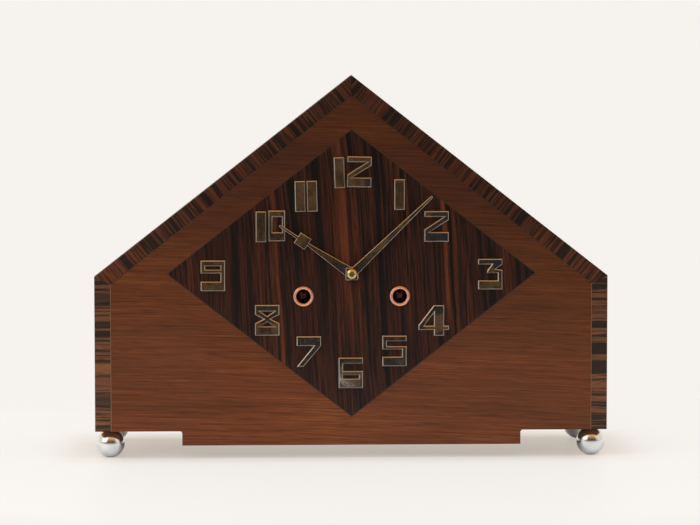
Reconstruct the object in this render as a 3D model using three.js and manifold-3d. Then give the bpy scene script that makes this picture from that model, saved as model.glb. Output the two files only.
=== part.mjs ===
// Art deco mantel clock: a gabled veneered case on four ball feet, a diamond dial with applied
// numerals, and an eight-day movement with a going train, a strike train, a pendulum and a rod gong.
// Millimetres, +Z up. The dial faces -Y, +X is on its right, and y counts back from the dial's face
// until the last line puts the origin under the middle of the clock.
import * as THREE from "three";
import { mergeVertices } from "three/addons/utils/BufferGeometryUtils.js";
import Module from "manifold-3d";

// Case
const caseWidth = 410;
const shoulderHeight = 124; // from the case's underside to where the roof starts
const roofPitch = 38; // degrees
const caseDepth = 130;
const boardThickness = 10;
const panelThickness = 10;
const veneerThickness = 1;
const backThickness = 8;
const shellInset = 5; // the front board stands proud of the shell by this at the sides and roof
const bandWidth = 12.8;
const apronWidth = 271;
const apronDrop = 11.5;
const apronFillet = 1.6;
const seam = 0.3; // gap at mitres and between veneers

// Feet
const footDiameter = 23;
const footSeatDiameter = 8;
const footRestDiameter = 5;
const footSetback = 13.6; // from the dial's face and from the back face to a foot's centre
const footStudDiameter = 4;
const footStudLength = 7;
const footStudClearance = 0.3;

// Dial
const dialRise = 2.2; // the hands' centre above the shoulders
const diamondWidth = 293;
const numeralWidth = 19.4;
const numeralHeight = 24.4;
const barWidth = 8.3;
const zeroWidth = 13.2;
const fourWidth = 24.4;
const numeralThickness = 1.6;
const numeralBevel = 0.7;
const pipeHoleRadius = 5.2;
const grommetRadius = 8.1;
const grommetBore = 5.65;
const grommetWall = 0.7;
const grommetCrown = 1.4;
const grommetClearance = 0.25;
const grommetEnd = 1; // from the back of the front board

// Hands
const minuteHandLength = 89;
const minuteHandRoot = 6.7;
const minuteHandTip = 1.8;
const hourHandLength = 69.4;
const hourHandRoot = 8.4;
const hourHandTip = 1.9;
const hourHandNeck = 2.3;
const pipSize = 10;
const pipCentre = 47;
const hubSize = 9.6;
const handThickness = 1;
const handBevel = 0.4;
const hourHandLift = 2.5; // from the dial's face to the back of the hand
const handSpacing = 1.2; // between the two hands
const nutRadius = 4;
const nutLength = 2.9;
const minuteShown = 7.7; // ten hours and 7.7 minutes
const hourShown = 10;
const handClearance = 0.2; // round the thread and the pipe
const nutProfile = [[0.45, 1], [0.6, 0.7], [0.8, 0.75], [1, 0.4], [1, 0]]; // shares of radius and length

// Movement frame
const arborSpacing = 77;
const arborDrop = 18.3;
const movementGap = 10; // from the front board to the front plate
const plateThickness = 2;
const plateSpacing = 30;
const plateMargin = 23.5; // from a winding arbor to the plate's side
const plateCorner = 6;
const pillarRadius = 3.2;
const pillarInset = 5.2;
const pillarRise = 8; // of the lower pillars above the hammer arbor
const pillarStudRadius = 1.8;
const pillarStudLength = 3.2;
const boreClearance = 0.3;
const cockRoot = 1; // how deep the pendulum's cock is let into the back plate

// Wheels: teeth and module of each mesh
const greatTeeth = 50;
const intermediateLeaves = 10;
const greatModule = 1.04;
const intermediateTeeth = 40;
const centreLeaves = 8;
const intermediateModule = 0.85;
const centreTeeth = 72;
const thirdLeaves = 6;
const centreModule = 0.5;
const thirdTeeth = 60;
const escapeLeaves = 6;
const thirdModule = 0.5;
const escapeTeeth = 42;
const escapeRadius = 11;
const warningLeaves = 8;
const warningTeeth = 48;
const flyLeaves = 6;
const warningModule = 0.6;
const cannonLeaves = 10;
const minuteTeeth = 30;
const minuteLeaves = 8;
const hourTeeth = 32;
const motionModule = 0.7;
const motionStudRadius = 1;
const cannonLength = 2.4;
const snailRadius = 9.6;
const snailFall = 4.4;
const snailSteps = 12;
const pipeRecess = 0.2; // of the hour pipe in its wheel
const ratchetTeeth = 16;
const ratchetRadius = 11;
const ratchetThickness = 2;
const wheelThickness = 1.5;
const greatThickness = 2;
const pinionLength = 4;
const centrePinionLength = 2.5;
const warningPinionLength = 3.5;
const toothRoot = 1.25; // in modules, within the pitch circle
const toothTip = 0.95; // in modules, beyond the pitch circle
const wheelTooth = [[-0.5, -toothRoot], [0, toothTip]]; // shares of a tooth's pitch, and modules
const pinionLeaf = [[-0.3, -toothRoot], [0, toothTip], [0.3, -toothRoot]];
const rimModules = 3.2; // from the pitch circle to the inside of the rim
const rimMargin = 0.4;
const hubRadius = 3.4;
const wheelArms = 4;
const armWidth = 2;
const ratchetDrop = 1.6; // from the tips of the ratchet's teeth to their roots
const ratchetLean = -0.35; // share of a tooth's pitch
const escapeDrop = 1.3;
const escapeLean = 0.25;
const escapeRim = 2.6;
const escapeArmWidth = 1.4;

// Where the wheels lie between the plates
const secondWheelGap = 2; // from the front plate
const drumGap = 1.5; // from the second wheel
const centreWheelStep = 5; // from the drum's front
const thirdWheelStep = 7; // from the centre wheel
const escapeGap = 0.5; // from the great wheel
const warningStep = 0.4;
const strikeSecondGap = 4; // from the back plate
const hourWheelStandoff = 6; // from the front plate
const minuteWheelStandoff = 2.7;
const ratchetStandoff = 3.4;

// Arbors and the pieces on them
const drumRadius = 21.5;
const drumLength = 17;
const drumWall = 2;
const drumOverlap = 0.4; // the great wheel stands proud of the drum by this
const barrelArborRadius = 3;
const barrelPivotRadius = 1.8;
const windingSquare = 4.4;
const squareRecess = 6.5; // the square's end behind the dial's face
const arborFace = 1; // from the front board to a winding arbor's round part
const arborRadius = 1.25;
const fineArborRadius = 0.8;
const pivotRadius = 0.6;
const centreArborRadius = 1.9;
const nutThreadRadius = 1.4;
const threadRecess = 0.4; // of the thread in its nut
const hourPipeBore = 2.5;
const hourPipeRadius = 3.4;
const thirdAngle = 60; // degrees, from the centre arbor
const motionAngle = 30;
const strikeSecondAngle = 52; // from the strike barrel
const warningAngle = 100;
const flyAngle = 150;
const flyRadius = 11;
const flyLength = 13;
const flyThickness = 0.6;
const flyGap = 3; // from the front plate
const liftingPins = 10;
const liftingPinCircle = 13;
const liftingPinRadius = 0.8;
const liftingPinLength = 1.6;
const liftingGap = 0.4; // the hammer tail stands clear of the pins, so the lift is free

// Escapement and pendulum
const palletSpan = 90; // degrees of the escape wheel between the pallets
const palletGap = 1.2; // the pallets stand clear of the teeth, so the swing is free
const escapeThickness = 1.2;
const palletNose = [2.4, 1]; // a pallet's corners, out and up from its acting corner
const palletShoulder = [1.4, 4.6];
const anchorNeck = [2.6, 2.4]; // the anchor's corners round its arbor
const anchorFoot = [2.2, -1.6];
const pendulumLength = 126.8; // pivot to bob centre: 10,080 beats an hour
const pendulumStandoff = 8; // from the back plate to the rod's centre
const rodRadius = 1.4;
const bobRadius = 19;
const bobThickness = 9;
const bobProfile = [[0, 1], [0.6, 0.86], [0.9, 0.45], [1, 0], [0.9, -0.45], [0.6, -0.86], [0, -1]];
const crutchLength = 40;
const crutchGap = 2; // from the back plate
const crutchWidth = 2;
const crutchThickness = 1.2;
const crutchHubRadius = 2.4;
const prongThickness = 1;
const suspensionDrop = 8;
const suspensionLength = 12;
const suspensionWidth = 5;
const suspensionThickness = 0.4;
const suspensionGrip = 1; // how far the strip reaches above the pivot
const blockWidth = 4;
const blockHeight = 6;
const rodOverlap = 2; // of the rod in its block
const rodEnd = 1.5; // of the rod below the rating nut
const nutOverlap = 0.3;
const cheekThickness = 2;
const ratingNutRadius = 3;
const ratingNutLength = 4;

// Strike
const hammerDrop = 32.7; // of the hammer arbor below the strike barrel
const hammerReach = 35.5;
const hammerFall = 6;
const hammerHeadRadius = 3;
const hammerHeadLength = 12;
const hammerGap = 1.5; // between a head and its rod
const hammerHeadChamfer = 0.8;
const hammerArmWidth = 2.4;
const hammerArmThickness = 1.6;
const hammerTailWidth = 2;
const hammerTailThickness = 1.2;
const gongCount = 3;
const gongPitch = 7;
const gongRadius = 1.5;
const gongLength = 195;
const gongDepth = 31; // the first rod behind the dial's face
const gongBlockWidth = 24;
const gongBlockOverhang = 22; // from the hammer heads to the block
const gongBlockMargin = 4; // in front of the first rod and behind the last
const gongBlockRise = 6; // above the rods
const gongRodRoot = 2; // how deep a rod is let into the block

// Back door
const doorWidth = 226;
const doorHeight = 146;
const doorRise = 17; // from the case's underside to the opening
const doorThickness = 5.7;
const doorGap = 0.5;
const rebate = 3; // lip that the door closes against
const soundHoleRadius = 5;
const soundHoleCircle = 18;
const soundHoleCount = 6;
const hingeHeight = 24;
const hingeInset = 18; // from the door's corner to the hinge's end
const hingeLeafWidth = 9;
const hingeLeafThickness = 1.2;
const hingeBarrelRadius = 2.2;
const hingePinRadius = 0.9;
const hingeClearance = 0.3;
const catchInset = 10;
const catchTongue = 14;
const catchTongueWidth = 6;
const catchTongueThickness = 1.5;
const catchSpindleRadius = 1.5;
const knobRadius = 5.5;
const knobLength = 11;
const knobProfile = [[0.6, 0], [0.45, 0.3], [1, 0.55], [1, 0.8], [0.7, 1]]; // shares of radius and length
const hingeArmOverlap = 1;

// Facets round a piece
const pivotSides = 6;
const smallSides = 8;
const arborSides = 10;
const pipeSides = 12;
const dialSides = 16;
const drumSides = 20;
const ballSides = 14;
const ballSteps = 7;
const mergeDistance = 1e-4;
const overrun = 1; // how far a cutter reaches beyond the face that it cuts

const wasm = await Module();
wasm.setup();
const tau = Math.PI * 2;
const radians = THREE.MathUtils.degToRad;
const pitch = radians(roofPitch);

// Depths behind the dial's face
const panelBack = veneerThickness + panelThickness;
const backFront = caseDepth - backThickness;
const frontPlateFront = panelBack + movementGap;
const frontPlateBack = frontPlateFront + plateThickness;
const backPlateFront = frontPlateBack + plateSpacing;
const backPlateBack = backPlateFront + plateThickness;

// Heights
const footRadius = footDiameter / 2;
const footHeight =
  Math.sqrt(footRadius ** 2 - (footSeatDiameter / 2) ** 2) +
  Math.sqrt(footRadius ** 2 - (footRestDiameter / 2) ** 2);
const caseBottom = footHeight;
const shoulder = caseBottom + shoulderHeight;
const dialCentre = shoulder + dialRise;

// Solids

function toSolid(geometry) {
  const bare = new THREE.BufferGeometry();
  bare.setAttribute("position", geometry.getAttribute("position"));
  bare.setIndex(geometry.index);
  const merged = mergeVertices(bare, mergeDistance);
  return new wasm.Manifold(
    new wasm.Mesh({
      numProp: 3,
      vertProperties: merged.attributes.position.array,
      triVerts: new Uint32Array(merged.index.array),
    }),
  );
}

function toGeometry(solid) {
  const mesh = solid.getMesh();
  const geometry = new THREE.BufferGeometry();
  geometry.setAttribute("position", new THREE.BufferAttribute(new Float32Array(mesh.vertProperties), 3));
  geometry.setIndex(new THREE.BufferAttribute(new Uint32Array(mesh.triVerts), 1));
  geometry.computeVertexNormals();
  return geometry;
}

const join = (first, ...rest) => rest.reduce((whole, part) => whole.add(part), first);
const cut = (first, ...rest) => rest.reduce((whole, part) => whole.subtract(part), first);

const point = (x, z) => new THREE.Vector2(x, z);

function polar(from, distance, degrees) {
  return point(
    from.x + distance * Math.cos(radians(degrees)),
    from.y + distance * Math.sin(radians(degrees)),
  );
}

function ring(radius, segments, centre = point(0, 0), start = 0) {
  const points = [];
  for (let i = 0; i < segments; i++) {
    const angle = start + (i / segments) * tau;
    points.push(point(centre.x + radius * Math.cos(angle), centre.y + radius * Math.sin(angle)));
  }
  return points;
}

function rectangle(x0, x1, z0, z1) {
  return [point(x0, z0), point(x1, z0), point(x1, z1), point(x0, z1)];
}

// An outline drawn on the dial's plane, as thick as from yFront to yBack
function slab(outline, yFront, yBack, holes = []) {
  const shape = new THREE.Shape(outline);
  holes.forEach((hole) => shape.holes.push(new THREE.Path(hole)));
  const geometry = new THREE.ExtrudeGeometry(shape, { depth: yBack - yFront, bevelEnabled: false });
  geometry.rotateX(Math.PI / 2).translate(0, yBack, 0);
  return toSolid(geometry);
}

// A [radius, height] profile turned about an axis. It starts and ends on the axis, or closes on itself
function turned(profile, segments, { axis = "y", at = [0, 0, 0] } = {}) {
  const points = profile.map(([radius, height]) => point(radius, height));
  const geometry = new THREE.LatheGeometry(points, segments);
  if (axis === "z") geometry.rotateX(Math.PI / 2);
  if (axis === "x") geometry.rotateZ(-Math.PI / 2);
  geometry.translate(...at);
  return toSolid(geometry);
}

function rod(radius, low, high, segments, placement) {
  return turned([[0, low], [radius, low], [radius, high], [0, high]], segments, placement);
}

function tube(inner, outer, low, high, segments, placement) {
  return turned(
    [[inner, low], [outer, low], [outer, high], [inner, high], [inner, low]],
    segments,
    placement,
  );
}

function box([x0, x1], [y0, y1], [z0, z1]) {
  const geometry = new THREE.BoxGeometry(x1 - x0, y1 - y0, z1 - z0);
  geometry.translate((x0 + x1) / 2, (y0 + y1) / 2, (z0 + z1) / 2);
  return toSolid(geometry);
}

// A contour moved to the left of its direction: inwards if it runs counter-clockwise
function inset(contour, distance) {
  const count = contour.length;
  return contour.map((corner, i) => {
    const before = corner.clone().sub(contour[(i + count - 1) % count]).normalize();
    const after = contour[(i + 1) % count].clone().sub(corner).normalize();
    const sum = point(-before.y - after.y, before.x + after.x);
    return corner.clone().addScaledVector(sum, distance / (1 + before.dot(after)));
  });
}

// A plate with its back on y = 0, and its front edges bevelled all round
function bevelledPlate(outline, holes, thickness, bevel) {
  if (THREE.ShapeUtils.isClockWise(outline)) outline = [...outline].reverse();
  holes = holes.map((hole) => (THREE.ShapeUtils.isClockWise(hole) ? hole : [...hole].reverse()));
  const contours = [outline, ...holes];
  const rings = [
    [contours, 0],
    [contours, bevel - thickness],
    [contours.map((contour) => inset(contour, bevel)), -thickness],
  ];
  const vertices = rings.flatMap(([loops, y]) => loops.flat().flatMap((p) => [p.x, y, p.y]));
  const count = contours.flat().length;
  const indices = [];
  const [, , [front]] = rings;
  THREE.ShapeUtils.triangulateShape(outline, holes).forEach(([a, b, c]) => indices.push(a, c, b));
  THREE.ShapeUtils.triangulateShape(front[0], front.slice(1)).forEach(([a, b, c]) => {
    indices.push(a + 2 * count, b + 2 * count, c + 2 * count);
  });
  let first = 0;
  contours.forEach((contour) => {
    contour.forEach((_, i) => {
      const a = first + i;
      const b = first + ((i + 1) % contour.length);
      [0, count].forEach((level) => {
        const [low, next] = [a + level, b + level];
        indices.push(low, next, next + count, low, next + count, low + count);
      });
    });
    first += contour.length;
  });
  const geometry = new THREE.BufferGeometry();
  geometry.setAttribute("position", new THREE.Float32BufferAttribute(vertices, 3));
  geometry.setIndex(indices);
  return toSolid(geometry);
}

// Materials

function finish(color, roughness, metalness) {
  return new THREE.MeshStandardMaterial({ color, roughness, metalness });
}

const mahogany = finish(0x6e3620, 0.42, 0);
const macassar = finish(0x38211a, 0.35, 0);
const carcaseWood = finish(0x7a4a2c, 0.6, 0);
const chrome = finish(0xc8ccd0, 0.12, 1);
const brass = finish(0xb8923f, 0.35, 1);
const copper = finish(0xc98055, 0.3, 1);
const steel = finish(0x8c9096, 0.35, 1);
const iron = finish(0x2c2c2e, 0.6, 0.6);

const clock = new THREE.Group();
const movement = new THREE.Group();
movement.position.z = dialCentre;
clock.add(movement);

function add(group, name, solid, material, centre = point(0, 0), turn = 0) {
  const mesh = new THREE.Mesh(toGeometry(solid), material);
  mesh.name = name;
  mesh.position.set(centre.x, 0, centre.y);
  mesh.rotation.y = radians(turn);
  group.add(mesh);
}

// Case

// The case's gabled outline, taken in by a distance from its sides and roof
function gable(distance, bottom) {
  const half = caseWidth / 2 - distance;
  const side = shoulder + distance * (Math.tan(pitch) - 1 / Math.cos(pitch));
  const apex = side + half * Math.tan(pitch);
  return [
    point(-half, bottom),
    point(half, bottom),
    point(half, side),
    point(0, apex),
    point(-half, side),
  ];
}

// The same outline with the apron below its bottom edge, and a small fillet beside the apron
function withApron(outline) {
  const [left, right, ...roof] = outline;
  const half = apronWidth / 2;
  const low = caseBottom - apronDrop;
  const fillet = (side) =>
    [0, 0.5, 1].map((share) => {
      const angle = share * (Math.PI / 2);
      const x = half + apronFillet * (1 - Math.sin(angle));
      return point(side * x, caseBottom - apronFillet * (1 - Math.cos(angle)));
    });
  const leftFillet = fillet(-1);
  const rightFillet = fillet(1).reverse();
  return [left, ...leftFillet, point(-half, low), point(half, low), ...rightFillet, right, ...roof];
}

function diamond(grow) {
  const half = diamondWidth / 2 + grow / Math.sin(pitch);
  const rise = half * Math.tan(pitch);
  return [
    point(half, dialCentre),
    point(0, dialCentre + rise),
    point(-half, dialCentre),
    point(0, dialCentre - rise),
  ];
}

const windingHoles = [-1, 1].map((side) =>
  point((side * arborSpacing) / 2, dialCentre - arborDrop),
);

function dialHoles() {
  const bore = grommetBore + grommetWall + grommetClearance;
  return [
    ring(pipeHoleRadius, pipeSides, point(0, dialCentre)),
    ...windingHoles.map((place) => ring(bore, dialSides, place)),
  ];
}

function band() {
  const [outerLeft, outerRight, rightShoulder, apex, leftShoulder] = gable(0, caseBottom);
  const [innerLeft, innerRight, innerShoulder, innerApex, innerLeftShoulder] = gable(bandWidth, caseBottom);
  return [
    outerLeft, innerLeft, innerLeftShoulder, innerApex, innerShoulder,
    innerRight, outerRight, rightShoulder, apex, leftShoulder,
  ];
}

// A side or roof board of the shell, which stands on the base board, is mitred at the shoulders and
// the apex, and has a seam at each end
function board(corner) {
  const outer = gable(shellInset, caseBottom + boardThickness);
  const inner = gable(shellInset + boardThickness, caseBottom + boardThickness);
  const next = (corner + 1) % outer.length;
  const along = outer[next].clone().sub(outer[corner]).normalize().multiplyScalar(seam / 2);
  return slab(
    [
      outer[corner].clone().add(along),
      outer[next].clone().sub(along),
      inner[next].clone().sub(along),
      inner[corner].clone().add(along),
    ],
    panelBack,
    backFront,
  );
}

const footPlaces = [
  ["front_left", -1, footSetback],
  ["front_right", 1, footSetback],
  ["rear_left", -1, caseDepth - footSetback],
  ["rear_right", 1, caseDepth - footSetback],
].map(([name, side, y]) => ({ name, x: side * (caseWidth / 2 - footRadius), y }));

function baseBoard() {
  const half = caseWidth / 2 - shellInset;
  const plank = box([-half, half], [panelBack, backFront], [caseBottom, caseBottom + boardThickness]);
  const holes = footPlaces.map(({ x, y }) =>
    rod(
      footStudDiameter / 2 + footStudClearance,
      caseBottom - overrun,
      caseBottom + footStudLength + footStudClearance,
      arborSides,
      { axis: "z", at: [x, y, 0] },
    ),
  );
  return cut(plank, ...holes);
}

function foot(x, y) {
  const seat = footSeatDiameter / 2;
  const rest = footRestDiameter / 2;
  const start = Math.asin(rest / footRadius);
  const end = Math.PI - Math.asin(seat / footRadius);
  const centre = footRadius * Math.cos(start);
  const arc = [];
  for (let i = 0; i <= ballSteps; i++) {
    const angle = start + ((end - start) * i) / ballSteps;
    arc.push([footRadius * Math.sin(angle), centre - footRadius * Math.cos(angle)]);
  }
  arc[0][1] = 0;
  arc[ballSteps][1] = footHeight;
  const stud = footStudDiameter / 2;
  const top = footHeight + footStudLength;
  return turned(
    [[0, 0], ...arc, [stud, footHeight], [stud, top], [0, top]],
    ballSides,
    { axis: "z", at: [x, y, 0] },
  );
}

function makeCase() {
  const outline = withApron(gable(0, caseBottom));
  const field = withApron(gable(bandWidth + seam, caseBottom));
  add(clock, "front_panel", slab(outline, veneerThickness, panelBack, dialHoles()), carcaseWood);
  add(clock, "field_veneer", slab(field, 0, veneerThickness, [diamond(seam)]), mahogany);
  add(clock, "dial_diamond", slab(diamond(0), 0, veneerThickness, dialHoles()), macassar);
  add(clock, "banding", slab(band(), 0, veneerThickness), macassar);
  add(clock, "base_board", baseBoard(), carcaseWood);
  ["side_right", "roof_right", "roof_left", "side_left"].forEach((name, i) => {
    add(clock, name, board(i + 1), mahogany);
  });
  footPlaces.forEach(({ name, x, y }) => add(clock, "foot_" + name, foot(x, y), chrome));
}

// Back door and its frame

const doorBottom = caseBottom + doorRise;
const doorTop = doorBottom + doorHeight;
const hingeAxis = point(doorWidth / 2 - doorGap / 2, caseDepth + hingeBarrelRadius + seam);

function backFrame() {
  const half = doorWidth / 2;
  const opening = rectangle(-half + rebate, half - rebate, doorBottom + rebate, doorTop - rebate);
  const frame = slab(gable(shellInset, caseBottom), backFront, caseDepth, [opening]);
  const recess = slab(
    rectangle(-half, half, doorBottom, doorTop),
    caseDepth - doorThickness - seam,
    caseDepth + overrun,
  );
  return cut(frame, recess);
}

function backDoor() {
  const half = doorWidth / 2 - doorGap;
  const middle = point(0, (doorBottom + doorTop) / 2);
  const holes = [ring(soundHoleRadius, smallSides, middle)];
  for (let i = 0; i < soundHoleCount; i++) {
    const centre = polar(middle, soundHoleCircle, (360 / soundHoleCount) * i);
    holes.push(ring(soundHoleRadius, smallSides, centre));
  }
  const spindle = point(-doorWidth / 2 + catchInset, middle.y);
  holes.push(ring(catchSpindleRadius + boreClearance, smallSides, spindle));
  const outline = rectangle(-half, half, doorBottom + doorGap, doorTop - doorGap);
  return slab(outline, caseDepth - doorThickness, caseDepth, holes);
}

// Heights of the three knuckles of a hinge that starts at a height
function knuckles(low) {
  const third = hingeHeight / 3;
  return [0, 1, 2].map((i) => [low + i * third, low + (i + 1) * third]);
}

function caseLeaf(low) {
  const [bottom, , top] = knuckles(low);
  const at = { axis: "z", at: [hingeAxis.x, hingeAxis.y, 0] };
  const edge = hingeAxis.x + hingeBarrelRadius + hingeClearance;
  const leaf = box(
    [edge - hingeClearance, edge + hingeLeafWidth],
    [caseDepth, caseDepth + hingeLeafThickness],
    [low, low + hingeHeight],
  );
  const arms = [bottom, top].map(([z0, z1]) =>
    box([hingeAxis.x, edge], [caseDepth, caseDepth + hingeLeafThickness], [z0, z1]),
  );
  return join(
    leaf,
    ...arms,
    rod(hingeBarrelRadius, ...bottom, smallSides, at),
    rod(hingeBarrelRadius, ...top, smallSides, at),
    rod(hingePinRadius, low, low + hingeHeight, smallSides, at),
  );
}

function doorLeaf(low) {
  const [, [z0, z1]] = knuckles(low);
  const at = { axis: "z", at: [hingeAxis.x, hingeAxis.y, 0] };
  const edge = hingeAxis.x - hingeBarrelRadius - hingeClearance;
  const sheet = [caseDepth, caseDepth + hingeLeafThickness];
  const leaf = box([edge - hingeLeafWidth, edge], sheet, [low, low + hingeHeight]);
  const [armLow, armHigh] = [z0 + hingeClearance, z1 - hingeClearance];
  const arm = box([edge - hingeArmOverlap, hingeAxis.x], sheet, [armLow, armHigh]);
  const barrel = rod(hingeBarrelRadius, armLow, armHigh, smallSides, at);
  return cut(join(leaf, arm, barrel), rod(hingePinRadius + hingeClearance, z0, z1, smallSides, at));
}

function doorCatch() {
  const tongueBack = backFront - boreClearance;
  const tongueFront = tongueBack - catchTongueThickness;
  const spindleHead = caseDepth + boreClearance;
  const half = catchTongueWidth / 2;
  const tongue = slab(rectangle(-half, half, -catchTongue, half), tongueFront, tongueBack);
  const knob = turned(
    [
      [0, tongueFront],
      [catchSpindleRadius, tongueFront],
      [catchSpindleRadius, spindleHead],
      ...knobProfile.map(([across, along]) => [knobRadius * across, spindleHead + knobLength * along]),
      [0, spindleHead + knobLength],
    ],
    pipeSides,
  );
  return join(tongue, knob);
}

function makeBack() {
  const lower = doorBottom + hingeInset;
  const upper = doorTop - hingeInset - hingeHeight;
  add(clock, "back_frame", backFrame(), mahogany);
  add(clock, "back_door", backDoor(), mahogany);
  add(clock, "upper_hinge_case_leaf", caseLeaf(upper), brass);
  add(clock, "lower_hinge_case_leaf", caseLeaf(lower), brass);
  add(clock, "upper_hinge_door_leaf", doorLeaf(upper), brass);
  add(clock, "lower_hinge_door_leaf", doorLeaf(lower), brass);
  const spindle = point(-doorWidth / 2 + catchInset, (doorBottom + doorTop) / 2);
  add(clock, "door_catch", doorCatch(), brass, spindle);
}

// Numerals, as outlines in shares of their width and height, counted from the top left
const glyphs = {
  "0": [[[0, 0], [1, 0], [1, 1], [0, 1]], [[0.24, 0.21], [0.82, 0.21], [0.82, 0.71], [0.24, 0.71]]],
  "1": [[[0, 0], [1, 0], [1, 1], [0, 1]]],
  "2": [[[0, 0], [1, 0], [1, 0.286], [0.213, 0.686], [1, 0.686], [1, 1], [0, 1], [0, 0.6],
    [0.8, 0.186], [0, 0.186]]],
  "3": [[[0, 0], [1, 0], [1, 0.18], [0.735, 0.335], [1, 0.36], [1, 1], [0, 1], [0, 0.706],
    [0.81, 0.706], [0.81, 0.465], [0.377, 0.465], [0.377, 0.38], [0.566, 0.18], [0, 0.18]]],
  "4": [[[0.506, 0], [0.84, 0], [0.84, 0.67], [1, 0.67], [1, 0.812], [0.84, 0.812], [0.84, 1],
    [0.51, 1], [0.51, 0.812], [0, 0.812], [0, 0.657]], [[0.51, 0.25], [0.51, 0.67], [0.2, 0.67]]],
  "5": [[[0, 0], [1, 0], [1, 0.18], [0.195, 0.18], [0.195, 0.345], [1, 0.345], [1, 1], [0, 1],
    [0, 0.69], [0.81, 0.69], [0.81, 0.45], [0, 0.45]]],
  "6": [[[0, 0], [1, 0], [1, 0.195], [0.18, 0.195], [0.18, 0.44], [1, 0.44], [1, 1], [0, 1]],
    [[0.18, 0.575], [0.83, 0.575], [0.83, 0.69], [0.18, 0.69]]],
  "7": [[[0, 0], [1, 0], [1, 0.315], [0.27, 1], [0, 1], [0.7, 0.315], [0, 0.315]]],
  "8": [[[0, 0], [1, 0], [1, 0.32], [0.65, 0.46], [1, 0.6], [1, 1], [0, 1], [0, 0.6],
    [0.35, 0.46], [0, 0.32]], [[0.22, 0.21], [0.78, 0.21], [0.5, 0.365]],
    [[0.5, 0.555], [0.78, 0.7], [0.22, 0.7]]],
  "9": [[[0, 0], [1, 0], [1, 1], [0, 1], [0, 0.69], [0.81, 0.69], [0.81, 0.42], [0, 0.42]],
    [[0.19, 0.185], [0.81, 0.185], [0.81, 0.295], [0.19, 0.295]]],
};

const widths = { "0": zeroWidth, "1": barWidth, "4": fourWidth };

// Where each numeral's middle is, from the hands' centre, and how far it leans to the left
const numeralPlaces = [
  ["numeral_12_one", "1", -9.7, 80.5, 2],
  ["numeral_12_two", "2", 6.2, 81.1, -1],
  ["numeral_1", "1", 38.2, 62.9, 0],
  ["numeral_2", "2", 67.8, 37.4, 0],
  ["numeral_3", "3", 110.8, -0.9, 0],
  ["numeral_4", "4", 65.6, -37.9, 0],
  ["numeral_5", "5", 34.2, -62.2, 0],
  ["numeral_6", "6", -0.7, -79.7, 0],
  ["numeral_7", "7", -34.2, -62.5, 0],
  ["numeral_8", "8", -67.4, -37.2, 0],
  ["numeral_9", "9", -110.6, -1.5, 0],
  ["numeral_10_one", "1", -72.2, 37.5, 0],
  ["numeral_10_zero", "0", -59.6, 38.2, 0],
  ["numeral_11_left", "1", -41, 61.6, 1],
  ["numeral_11_right", "1", -31.5, 61.8, 1.5],
];

function numeral(digit) {
  const width = widths[digit] ?? numeralWidth;
  const [outline, ...holes] = glyphs[digit].map((contour) =>
    contour.map(([x, y]) => point((x - 0.5) * width, (0.5 - y) * numeralHeight)),
  );
  return bevelledPlate(outline, holes, numeralThickness, numeralBevel);
}

function grommet() {
  const outer = grommetBore + grommetWall;
  const end = panelBack - grommetEnd;
  const middle = (grommetRadius + grommetBore) / 2;
  const half = (grommetRadius - grommetBore) / 2;
  const crown = [1, 2, 3].map((step) => {
    const angle = (step * Math.PI) / 4;
    return [middle - half * Math.cos(angle), -grommetCrown * Math.sin(angle)];
  });
  return turned(
    [
      [grommetBore, 0],
      ...crown,
      [grommetRadius, 0],
      [outer, 0],
      [outer, end],
      [grommetBore, end],
      [grommetBore, 0],
    ],
    dialSides,
  );
}

function makeDial() {
  numeralPlaces.forEach(([name, digit, x, z, lean]) => {
    add(movement, name, numeral(digit), chrome, point(x, z), -lean);
  });
  ["grommet_left", "grommet_right"].forEach((name, i) => {
    add(clock, name, grommet(), copper, windingHoles[i]);
  });
}

// Hands, drawn pointing at twelve

const hub = hubSize / Math.SQRT2; // the square hub stands on its corner
const minuteHandBack = -(hourHandLift + handThickness + handSpacing);

function minuteHandOutline() {
  const root = minuteHandRoot / 2;
  const tip = minuteHandTip / 2;
  const right = [
    point(hub, 0),
    point(root, hub - root),
    point(tip, minuteHandLength - tip),
    point(tip * 0.6, minuteHandLength - tip * 0.2),
  ];
  return closeHand(right, minuteHandLength);
}

function hourHandOutline() {
  const root = hourHandRoot / 2;
  const neck = hourHandNeck / 2;
  const tip = hourHandTip / 2;
  const half = pipSize / 2;
  const right = [
    point(hub, 0),
    point(root, hub - root),
    point(neck, pipCentre - half),
    point(half, pipCentre - half),
    point(half, pipCentre + half),
    point(neck, pipCentre + half),
    point(tip, hourHandLength - tip),
  ];
  return closeHand(right, hourHandLength);
}

function closeHand(right, length) {
  const left = right.map(({ x, y }) => point(-x, y)).reverse();
  return [point(0, -hub), ...right, point(0, length), ...left];
}

function makeHands() {
  const minuteTurn = minuteShown * 6;
  const hourTurn = (hourShown + minuteShown / 60) * 30;
  const nutBore = nutThreadRadius + handClearance;
  const onThread = ring(nutBore, arborSides);
  const onPipe = ring(hourPipeRadius + handClearance, pipeSides);
  const minuteHand = bevelledPlate(minuteHandOutline(), [onThread], handThickness, handBevel);
  const hourHand = bevelledPlate(hourHandOutline(), [onPipe], handThickness, handBevel);
  const nutBack = minuteHandBack - handThickness;
  const nut = turned(
    [
      [nutBore, nutBack - nutLength],
      ...nutProfile.map(([across, along]) => [nutRadius * across, nutBack - nutLength * along]),
      [nutBore, nutBack],
      [nutBore, nutBack - nutLength],
    ],
    pipeSides,
  );
  add(movement, "minute_hand", minuteHand, chrome, undefined, minuteTurn);
  movement.children.at(-1).position.y = minuteHandBack;
  add(movement, "hour_hand", hourHand, chrome, undefined, hourTurn);
  movement.children.at(-1).position.y = -hourHandLift;
  add(movement, "hand_nut", nut, brass);
}

const gongDepths = Array.from({ length: gongCount }, (_, i) => gongDepth + i * gongPitch);

// Movement: where each arbor stands on the dial's plane, from the hands' centre

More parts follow.
